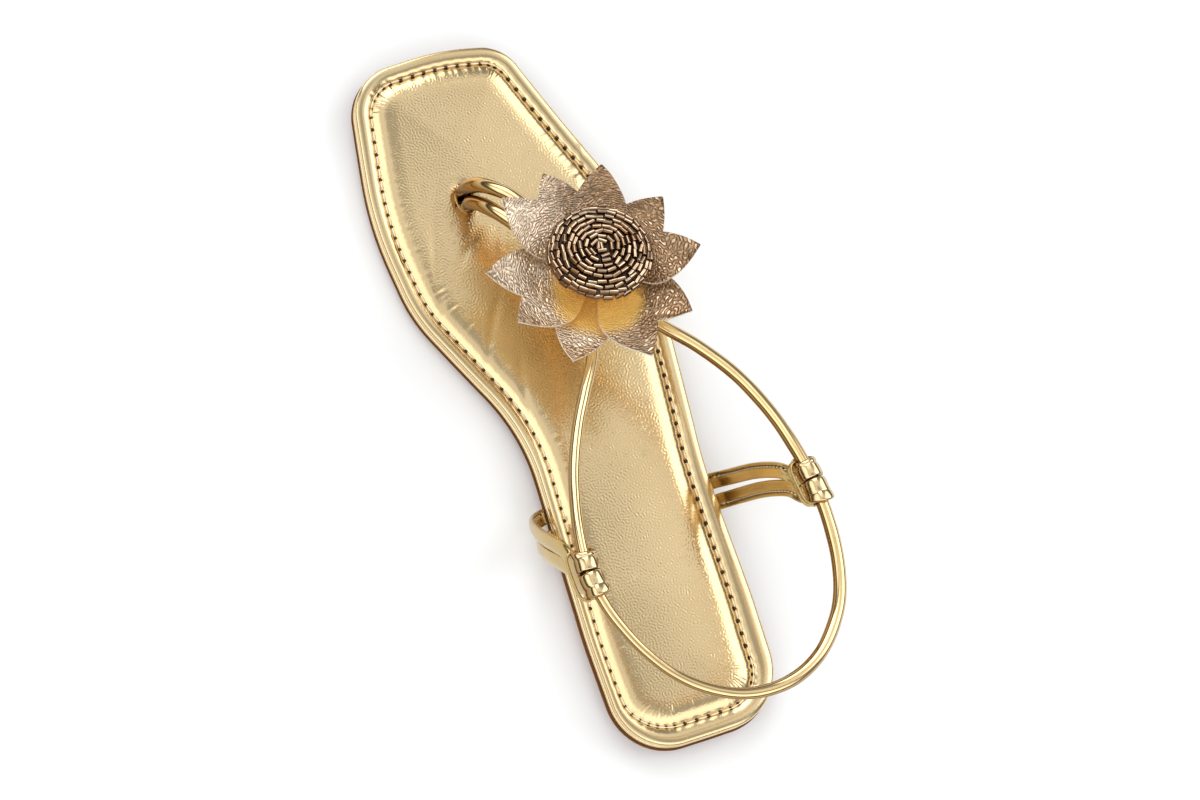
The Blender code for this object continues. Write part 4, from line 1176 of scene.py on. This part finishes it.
for name, (side, row, fold, route) in STRAPS.items():
    leg = leg_line(side, row, route, direction=1)[0]
    print(f"{name}: a leg is", round(float(lengths_along(leg)[-1]), 4), "m long")


# %% Legs and their stitches
SEAM_MARGIN, SEAM_PITCH = 0.003, 0.0019
SEAM_ACROSS, SEAM_OUT = 0.0012, 0.00045
SEAM_HOLE_AHEAD, SEAM_HOLE_BELOW = 0.00095, 0.00005
SEAM_THREAD_SIZE, SEAM_HOLE_SIZE = (0.0014, 0.00042, 0.00040), (0.0006, 0.00050, 0.00036)


def seam_marks(line, width, face, tangent):
    """Places of a leg's stitches, evenly spread along its seam, and their axes along, across and out."""
    length = lengths_along(line)
    marks = np.arange(SEAM_MARGIN, length[-1] - SEAM_MARGIN, SEAM_PITCH)
    here, across, out_of, along = (
        np.stack([np.interp(marks, length, value[:, axis]) for axis in range(3)], axis=1)
        for value in (line, width, face, tangent))
    axes = np.stack([unit(along), unit(np.cross(out_of, along)), unit(out_of)], axis=-1)
    return here + across * SEAM_ACROSS + out_of * SEAM_OUT, axes


def make_legs(name, side, row, route):
    """The two legs of one keeper and their stitches. The section runs round the other way on one of the
    legs, and that leg's faces are flipped."""
    seams, seam_frames = [], []
    for number, direction in enumerate((-1, 1), start=1):
        line, width, face, tangent = leg_line(side, row, route, direction)
        inside_out = np.dot(np.cross(width[0], face[0]), tangent[0]) < 0
        grid_piece(f"{name}_leg_{number}", swept(line, width, face, LEG_SECTION[None]), strap_leather,
                   "gold_leather", (name,), caps=True, flip=inside_out)
        places, frames = seam_marks(line, width, face, tangent)
        seams.append(places)
        seam_frames.append(frames)
    seams, seam_frames = np.vstack(seams), np.vstack(seam_frames)
    many(f"{name}_stitches", ellipsoid(SEAM_THREAD_SIZE), seams, seam_frames, thread)
    # Painted shade: flat dark ellipsoids in the strap's stitch holes.
    holes = seams + seam_frames[..., 0] * SEAM_HOLE_AHEAD - seam_frames[..., 2] * SEAM_HOLE_BELOW
    many(f"{name}_stitch_holes", ellipsoid(SEAM_HOLE_SIZE), holes, seam_frames, hole_shade)


# %% [markdown]
# ## Hitches
# At the top each strap is hitched round the cord like a luggage label: two wraps side by side, with the
# strap's fold lying along them. A real hitch is one strip, but its crossing is hidden inside, so it is made
# of what can be seen. A wrap is a turned shape, a profile carried round the cord. Its radius swells a
# little where the strap leaves a mouth, a few sine waves crumple it, and it leans, because pulled leather
# never sits square. The fold is a rounded bar that bends over both wraps.

# %% Wraps round the cord
# Columns: distance along the cord from the wrap's middle towards its outer end, radius. The profile runs
# from the inner end over the outside and back inside.
WRAP_PROFILE = smooth_line(np.array((
    (-0.0036, 0.0026), (-0.0039, 0.0034), (-0.0037, 0.0039), (-0.0030, 0.0041), (-0.0014, 0.00416),
    (0.0002, 0.0041), (0.0008, 0.00396), (0.0014, 0.0041), (0.0026, 0.0042), (0.0034, 0.0041),
    (0.0038, 0.0037), (0.0037, 0.0033), (0.0024, 0.0032), (-0.0008, 0.0031), (-0.0010, 0.0023),
    (-0.0034, 0.0023),
)), PROFILE_STEPS)
WRAP_SPACING, WRAP_COLUMNS = 0.0082, 48
MOUTH, MOUTH_FROM, MOUTH_OVER = 0.0001, 0.0006, 0.0030
CRUMPLE, CRUMPLE_FROM, CRUMPLE_OVER, CRUMPLED_ABOVE = 0.00016, -0.0002, 0.0012, 0.0025
LEAN_FORWARD, LEAN_BACK, LEAN_WAVE, LEAN_FROM, LEAN_OVER = 0.0019, -0.0004, 0.0003, 0.0002, 0.003


def make_wraps(name, row):
    """Two wraps round the cord. The radius swells sideways at the outer end, where the strap leaves a
    mouth."""
    angle = np.linspace(0, math.tau, WRAP_COLUMNS, endpoint=False)[:, None]
    for number, direction in enumerate((-1, 1), start=1):
        centre, axis = cord_at(row, direction * WRAP_SPACING / 2)
        axis = axis * direction
        across = unit(np.cross(axis, (0.0, 0.0, 1.0)))
        above = np.cross(across, axis)
        place, radius = WRAP_PROFILE[None, :, 0], WRAP_PROFILE[None, :, 1]
        mouth = ease((place - MOUTH_FROM) / MOUTH_OVER) * np.cos(angle) ** 2
        crumple = np.sin(2 * angle + 2.1 * number) + 0.6 * np.sin(5 * angle + number)
        crumple = ease((place - CRUMPLE_FROM) / CRUMPLE_OVER) * crumple
        radius = radius + (MOUTH * mouth + CRUMPLE * crumple) * (radius > CRUMPLED_ABOVE)
        slant = LEAN_FORWARD if axis[1] > 0 else LEAN_BACK
        lean = slant * np.sin(angle) + LEAN_WAVE * np.sin(2 * angle + number)
        place = place - lean * ease((place - LEAN_FROM) / LEAN_OVER)
        points = (centre + axis * place[..., None] + radius[..., None]
                  * (np.cos(angle)[..., None] * across + np.sin(angle)[..., None] * above))
        grid_piece(f"{name}_wrap_{number}", points, hitch_leather, "gold_leather", (name,), closed_rows=True)


print("wrap:", round(float(np.ptp(WRAP_PROFILE[:, 0])) * 1000, 1), "mm long and",
      round(float(WRAP_PROFILE[:, 1].max()) * 2000, 1), "mm thick")


# %% The strap's fold
# Columns: distance along the cord, distance out from it, distance down towards the legs.
FOLD_LINE = np.array(((-0.0078, 0.0030, 0.0012), (-0.0072, 0.0046, 0.0016), (-0.0045, 0.0056, 0.0022),
                      (0.0045, 0.0056, 0.0022), (0.0072, 0.0046, 0.0016), (0.0078, 0.0030, 0.0012)))
FOLD_STEPS, FOLD_COLUMNS = 6, 20
FOLD_THICKNESS, FOLD_ROUNDNESS = 0.00050, 0.7


def rounded(wave):
    """A sine or cosine with fuller shoulders: its size to the power 0.7, with its sign kept."""
    return np.sign(wave) * np.abs(wave) ** FOLD_ROUNDNESS


def make_fold(name, row, fold, route):
    """The strap's fold: a flat rounded section, "fold" wide each way, along the legs' side of both
    wraps."""
    knot, along = cord_at(row, 0.0)
    approach = knot - np.array(route[-1])
    approach = unit(approach - along * (approach @ along))
    line = []
    for distance, out_from, down in FOLD_LINE:
        centre, direction = cord_at(row, distance)
        face = unit(np.cross(direction, -approach))
        face = -face if face[0] > 0 else face
        line.append(centre + face * out_from - approach * down)
    line = smooth_line(line, FOLD_STEPS)
    tangent = unit(np.gradient(line, axis=0))
    width = unit(-approach - tangent * (tangent @ -approach)[:, None])
    angle = np.linspace(0, math.tau, FOLD_COLUMNS, endpoint=False)
    section = np.stack([fold * rounded(np.cos(angle)), FOLD_THICKNESS * rounded(np.sin(angle))], axis=1)
    points = swept(line, width, np.cross(width, tangent), section[None])
    grid_piece(f"{name}_fold", points, strap_leather, "gold_leather", (name,), caps=True, flip=True)


# %% Both straps
for name, (side, row, fold, route) in STRAPS.items():
    make_legs(name, side, row, route)
    make_wraps(name, row)
    make_fold(name, row, fold, route)
print("straps:", len(STRAPS))

# %% [markdown]
# ## Flower
# Ten leather petals lie in two rings of five round a pleated cup that carries a disc of bugle beads. The
# flower could be built where it stands, but leaning shapes are hard to write down. It is built upright
# round its own axis, where a petal is simply a shape along +X turned by its bearing, and one matrix then
# leans it and puts it in place.

# %% Place of the flower
FLOWER_LEAN = (-math.radians(10), -math.radians(5))
CUP_LEAN = (-math.radians(5), math.radians(2))

flower = (Matrix.Translation(FLOWER_BASE) @ Matrix.Rotation(FLOWER_LEAN[0], 4, "X")
          @ Matrix.Rotation(FLOWER_LEAN[1], 4, "Y"))
flower = np.array(flower)
cup_lean = np.array(Matrix.Rotation(CUP_LEAN[0], 3, "X") @ Matrix.Rotation(CUP_LEAN[1], 3, "Y"))


def in_flower(points, bearing=0.0):
    """Points of the flower's own frame, turned about its axis by a bearing in degrees, put in place on the
    shoe."""
    turned_by = np.array(Matrix.Rotation(math.radians(bearing), 3, "Z"))
    return points @ turned_by.T @ flower[:3, :3].T + flower[:3, 3]


def in_cup(points):
    """Points of the cup's frame, which leans a little further than the petals do."""
    return in_flower(points @ cup_lean.T)


print("flower at", np.round(flower[:3, 3], 4), "with its axis along", np.round(flower[:3, 2], 3))

# %% [markdown]
# ## Petals
# A petal is a thin pointed leaf of leather that curls up towards its tip. A flat cut-out with a Solidify
# modifier would do for a stiff one. These wave a little, so the petal is one grid whose section goes once
# round: over the upper face and back along the lower one, which also gives the UV that the worn base, the
# bare underside and the cut edge of the petal leather follow.

# %% Numbers of the petals
PETAL_ROOT = 0.0078
# Columns: share of the way from root to tip, half width.
PETAL_OUTLINE = np.array(((0.00, 0.0038), (0.18, 0.0068), (0.38, 0.0092), (0.58, 0.0086), (0.76, 0.0060),
                          (0.90, 0.0029), (1.00, 0.0001)))
# Columns: name, height of the root, lift of the tip, bearings in degrees, distances of the tips from the
# axis.
PETAL_RINGS = (
    ("petal_lower", 0.0009, 0.0045, (163, 96, 27.5, -49, -126), (0.0372, 0.0380, 0.0340, 0.0345, 0.0355)),
    ("petal_upper", 0.0033, 0.0075, (124, 66, -12, -86, -161), (0.0384, 0.0346, 0.0340, 0.0378, 0.0356)),
)
PETAL_ROWS, FACE_COLUMNS = 40, 12
OUTLINE_STEPS = 6
HALF_THICKNESS, EDGE_CURL = 0.0005, 0.0006
PETAL_WAVE, PETAL_WAVES, PETAL_SEED = 0.0004, (0.013, 0.021), 11

petal_outline = smooth_line(PETAL_OUTLINE, OUTLINE_STEPS)
print("petals:", round(float(petal_outline[:, 1].max()) * 2000, 1), "mm wide")


# %% A petal
def make_petal(name, root_height, lift, reach, bearing, seed):
    """A petal along +X. Its middle surface rises with the square of the distance, its edges stand a little
    higher, and slow waves make it uneven."""
    share = np.linspace(0, 1, PETAL_ROWS)[:, None]
    width = np.interp(share, petal_outline[:, 0], petal_outline[:, 1])
    distance = PETAL_ROOT + (reach - PETAL_ROOT) * share
    across = np.sin(np.linspace(-math.pi / 2, math.pi / 2, FACE_COLUMNS))[None, :]
    across = np.concatenate([across, across[:, ::-1]], axis=1)
    wave = PETAL_WAVE * ripple(distance + 0.4 * across * width, PETAL_WAVES, seed) * share
    height = root_height + lift * (distance / reach) ** 2 + EDGE_CURL * across ** 2 + wave
    face = np.repeat((1.0, -1.0), FACE_COLUMNS)[None, :] * HALF_THICKNESS
    points = np.stack(np.broadcast_arrays(distance, across * width, height + face), axis=-1)
    upper, lower = np.linspace(0, 0.46, FACE_COLUMNS), np.linspace(0.5, 0.96, FACE_COLUMNS)
    grid_piece(f"{name}_leather", in_flower(points, bearing), petal_leather, "petal_leather", (name,),
               caps=True, flip=True, along=np.linspace(0, 1, PETAL_ROWS + 1),
               around=np.concatenate([upper, lower, (1.0,)]))


for ring_name, root_height, lift, bearings, reaches in PETAL_RINGS:
    for number, (bearing, reach) in enumerate(zip(bearings, reaches), start=1):
        make_petal(f"{ring_name}_{number}", root_height, lift, reach, bearing, PETAL_SEED + number)

# %% [markdown]
# ## Cup
# The beads sit on a cup of gold leather whose rim is gathered into small pleats, like a paper cake case.
# Modelling 34 pleats one by one is not needed: the cup is a profile turned about the axis, and a wave on
# the radius, the size of a sine, folds it where it is wide enough.

# %% Cup: a turned profile with pleats
CUP_STEPS = 4
# Columns: radius, height.
CUP_PROFILE = smooth_line(np.array((
    (0.0020, 0.0004), (0.0066, 0.0004), (0.0070, 0.0030), (0.0072, 0.0050), (0.0100, 0.0056),
    (0.0128, 0.0062), (0.0138, 0.0070), (0.0145, 0.0094), (0.0156, 0.0122), (0.0163, 0.0135),
    (0.0155, 0.0138), (0.0020, 0.0138),
)), CUP_STEPS)
PLEATS, PLEAT_DEPTH = 34, 0.0007
PLEATS_FROM, PLEATS_OVER = 0.009, 0.004
CUP_COLUMNS = PLEATS * 6


def turned(profile, columns, pleat_depth=0.0):
    """A profile (radius, height) turned about the flower's axis. Pleats take the size of a sine off its
    radius."""
    angle = np.linspace(0, math.tau, columns, endpoint=False)[None, :]
    wide_enough = ease((profile[:, :1] - PLEATS_FROM) / PLEATS_OVER)
    pleat = pleat_depth * np.abs(np.sin(angle * PLEATS / 2)) * wide_enough
    radius = profile[:, :1] - pleat
    points = np.broadcast_arrays(radius * np.cos(angle), radius * np.sin(angle), profile[:, 1:])
    return np.stack(points, axis=-1)


grid_piece("cup_pleated", in_cup(turned(CUP_PROFILE, CUP_COLUMNS, PLEAT_DEPTH)), cup_leather, "gold_leather",
           ("flower_cup",), caps=True)

# %% [markdown]
# ## Bead disc
# Bugle beads are short glass tubes. They are sewn to a dark backing in rings, end to end, with the inner
# rings opening into each other like a spiral. A pattern painted on a dome would look flat from the side, so
# every bead is there: one short tube of 64 faces, placed nearly 200 times. Hand sewing is never even, so
# each bead is turned, tipped and moved a little by random numbers with a fixed seed, which come out the
# same each time.

# %% Backing
# Columns: radius, height.
DISC_PROFILE = smooth_line(np.array(((0.0010, 0.0140), (0.0155, 0.0140), (0.0163, 0.0146), (0.0156, 0.0154),
                                     (0.0112, 0.0160), (0.0056, 0.0163), (0.0010, 0.0164))), PROFILE_STEPS)
DISC_COLUMNS = 96
grid_piece("bead_backing", in_cup(turned(DISC_PROFILE, DISC_COLUMNS)), bead_backing, "bronze_beads",
           ("bead_disc",), caps=True)

# %% Shape of a bead
BEAD_LENGTH, BEAD_RADIUS, BEAD_HOLE = 0.0030, 0.00093, 0.00050
BEAD_SIDES = 8


def bead_shape():
    """A short tube with rounded ends, closed through its hole: a profile turned about the X axis."""
    end, radius, hole = BEAD_LENGTH / 2, BEAD_RADIUS, BEAD_HOLE
    profile = np.array(((-end, hole), (-end, radius * 0.88), (-end * 0.95, radius), (-end * 0.84, radius),
                        (end * 0.84, radius), (end * 0.95, radius), (end, radius * 0.88), (end, hole)))
    angle = np.linspace(0, math.tau, BEAD_SIDES, endpoint=False)
    radii = profile[:, 1]
    points = np.stack([np.repeat(profile[:, 0], BEAD_SIDES), np.outer(radii, np.cos(angle)).ravel(),
                       np.outer(radii, np.sin(angle)).ravel()], axis=1)
    return points, grid_faces(len(profile), BEAD_SIDES, closed_rows=True, closed_columns=True)


print("bead:", len(bead_shape()[1]), "faces")

# %% Places of the beads
BEAD_RINGS = (0.0011, 0.0030, 0.0049, 0.0068, 0.0087, 0.0106, 0.0125, 0.0143, 0.0159, 0.0167)
SPIRAL_RINGS, SPIRAL_STEP = 7, 0.0016
RING_TURN = 0.9
BEAD_ROOM, BEAD_SEED = 1.05, 11
SLIP_ALONG, SLIP_OUT, SLIP_UP = 0.0003, 0.00014, 0.00018
TURN_SPREAD, TIP_SPREAD = 0.11, 0.09
DOME_TOP, DOME_DROP, DOME_RADIUS = 0.0172, 0.0020, 0.0158
LAST_RING_LOWER = 0.0012

beads_in_ring = [max(3, int(math.tau * radius / (BEAD_LENGTH * BEAD_ROOM))) for radius in BEAD_RINGS]
print("beads in the rings:", beads_in_ring)


def bead_places():
    """Places and axes of the beads: rings end to end on a low dome, which falls with the fourth power of
    the radius. The inner rings open into a spiral, and each bead is turned and tipped a little."""
    random = np.random.default_rng(BEAD_SEED)
    places, bearings = [], []
    for ring, (radius, count) in enumerate(zip(BEAD_RINGS, beads_in_ring)):
        angle = math.tau * (np.arange(count) / count) + RING_TURN * ring
        angle = angle + random.normal(0, SLIP_ALONG / radius, count)
        opening = SPIRAL_STEP * (np.mod(angle, math.tau) / math.tau - 0.5) * (ring < SPIRAL_RINGS)
        spiral = radius + opening + random.normal(0, SLIP_OUT, count)
        height = DOME_TOP - DOME_DROP * (spiral / DOME_RADIUS) ** 4 + random.normal(0, SLIP_UP, count)
        height = height - LAST_RING_LOWER * (ring == len(BEAD_RINGS) - 1)
        places.append(np.stack([spiral * np.cos(angle), spiral * np.sin(angle), height], axis=1))
        bearings.append(angle + math.pi / 2 + random.normal(0, TURN_SPREAD, count))
    places, bearings = np.vstack(places), np.concatenate(bearings)
    tip = random.normal(0, TIP_SPREAD, len(bearings))
    along = unit(np.stack([np.cos(bearings), np.sin(bearings), tip], axis=1))
    across = unit(np.cross((0.0, 0.0, 1.0), along))
    return places, np.stack([along, across, np.cross(along, across)], axis=-1)


# %% Bugle beads
places, frames = bead_places()
frames = np.einsum("ij,njk->nik", flower[:3, :3] @ cup_lean, frames)
many("bugle_beads", bead_shape(), in_cup(places), frames, bead_glass)
print(len(places), "beads")

# %% [markdown]
# ## Floor
# The shoe stands on a plain pale floor, one square that is far larger than the shoe so that its edge is
# never seen. It belongs to the stage and not to the shoe.

# %% Floor
FLOOR_REACH = 3
FLOOR_TONE = (0.97, 0.97, 0.97)

floor_mesh = bpy.data.meshes.new("floor")
floor_corners = [(x * FLOOR_REACH, y * FLOOR_REACH, 0) for x, y in ((-1, -1), (1, -1), (1, 1), (-1, 1))]
floor_mesh.from_pydata(floor_corners, [], [(0, 1, 2, 3)])
floor_mesh.materials.append(plain_finish("floor", FLOOR_TONE, FLOOR_TONE, 0.5, 0.9))
floor = bpy.data.objects.new("floor", floor_mesh)
bpy.context.scene.collection.objects.link(floor)
print("floor:", 2 * FLOOR_REACH, "m each way")

# %% [markdown]
# ## Light
# The world is a soft studio. Lamps could stand round the shoe, but foil shows its form by what it mirrors,
# and a lamp is mirrored as a small hard shape. So the light is painted on the sky by direction: a large
# softbox beyond the toes and another on the outer side, weaker ones opposite, and an even light from above.
# The gaps between them matter as much as they do, because they become the dark lines along every round
# edge. A dark flag high on the heel side deepens the gold where the leather leans towards the heel.

# %% Directions of the sky
world = bpy.data.worlds.new("studio")
bpy.context.scene.world = world
world.use_nodes = True
sky = world.node_tree


def towards(direction):
    """A direction as three plain numbers of length 1."""
    return tuple(float(value) for value in unit(np.array(direction)))


def closeness(vector, direction):
    """1 where the vector points in this direction, 0 where it is square to it: their dot product."""
    sockets = {0: vector, 1: towards(direction)}
    return add_node(sky, "ShaderNodeVectorMath", sockets, operation="DOT_PRODUCT").outputs["Value"]


looking = sky.nodes.new("ShaderNodeTexCoord").outputs["Generated"]
x, y, height = split(sky, looking)
compass = add_node(sky, "ShaderNodeCombineXYZ", {"X": x, "Y": y}).outputs["Vector"]
compass = add_node(sky, "ShaderNodeVectorMath", {0: compass}, operation="NORMALIZE").outputs["Vector"]
print("world:", world.name)

# %% Softboxes
# Columns: compass direction, its edge and its middle as dot products, height where its top fades out,
# strength.
SOFTBOXES = (((-0.03, 1.00), 0.88, 0.93, 0.93, 2.4), ((1.00, 0.02), 0.82, 0.93, 0.90, 2.1),
             ((-1.00, 0.05), 0.60, 0.86, 0.86, 1.5), ((-0.10, -1.00), 0.62, 0.88, 0.88, 1.5))
TOP_FADE = 0.14
FOOT_FROM, FOOT_TO = 0.30, 0.44

light = 0.0
for (east, north), edge, middle, top, strength in SOFTBOXES:
    wide = remap(sky, closeness(compass, (east, north, 0.0)), edge, middle, 0.0, strength)
    box = calculate(sky, "MULTIPLY", wide, remap(sky, height, top - TOP_FADE, top, 1.0, 0.0))
    light = calculate(sky, "ADD", box, light)
light = calculate(sky, "MULTIPLY", light, remap(sky, height, FOOT_FROM, FOOT_TO))
print("softboxes:", len(SOFTBOXES))

# %% Even light, a dark flag and the strength
# Columns: height where the step starts and ends, the light added before it and after it.
EVEN_LIGHT = ((0.05, 0.45, 0.08, 0.31), (0.70, 0.912, 0.0, 0.65), (0.95, 0.99, 0.0, -0.50))
FLAG_DIRECTION, FLAG_EDGE, FLAG_MIDDLE, FLAG_LIGHT = (0.22, -0.37, 0.90), 0.965, 0.990, -0.50
LIGHT_STRENGTH = 0.98
LIGHT_COLOUR = (0.970, 0.988, 1.0, 1.0)

for low, high, start, end in EVEN_LIGHT:
    light = calculate(sky, "ADD", remap(sky, height, low, high, start, end), light)
flag = remap(sky, closeness(looking, FLAG_DIRECTION), FLAG_EDGE, FLAG_MIDDLE, 0.0, FLAG_LIGHT)
light = calculate(sky, "ADD", flag, light)
light = calculate(sky, "MULTIPLY", light, LIGHT_STRENGTH)
sky.links.new(light, sky.nodes["Background"].inputs["Strength"])
sky.nodes["Background"].inputs["Color"].default_value = LIGHT_COLOUR
bpy.context.scene.view_settings.view_transform = "Standard"
print("sky:", len(sky.nodes), "nodes")
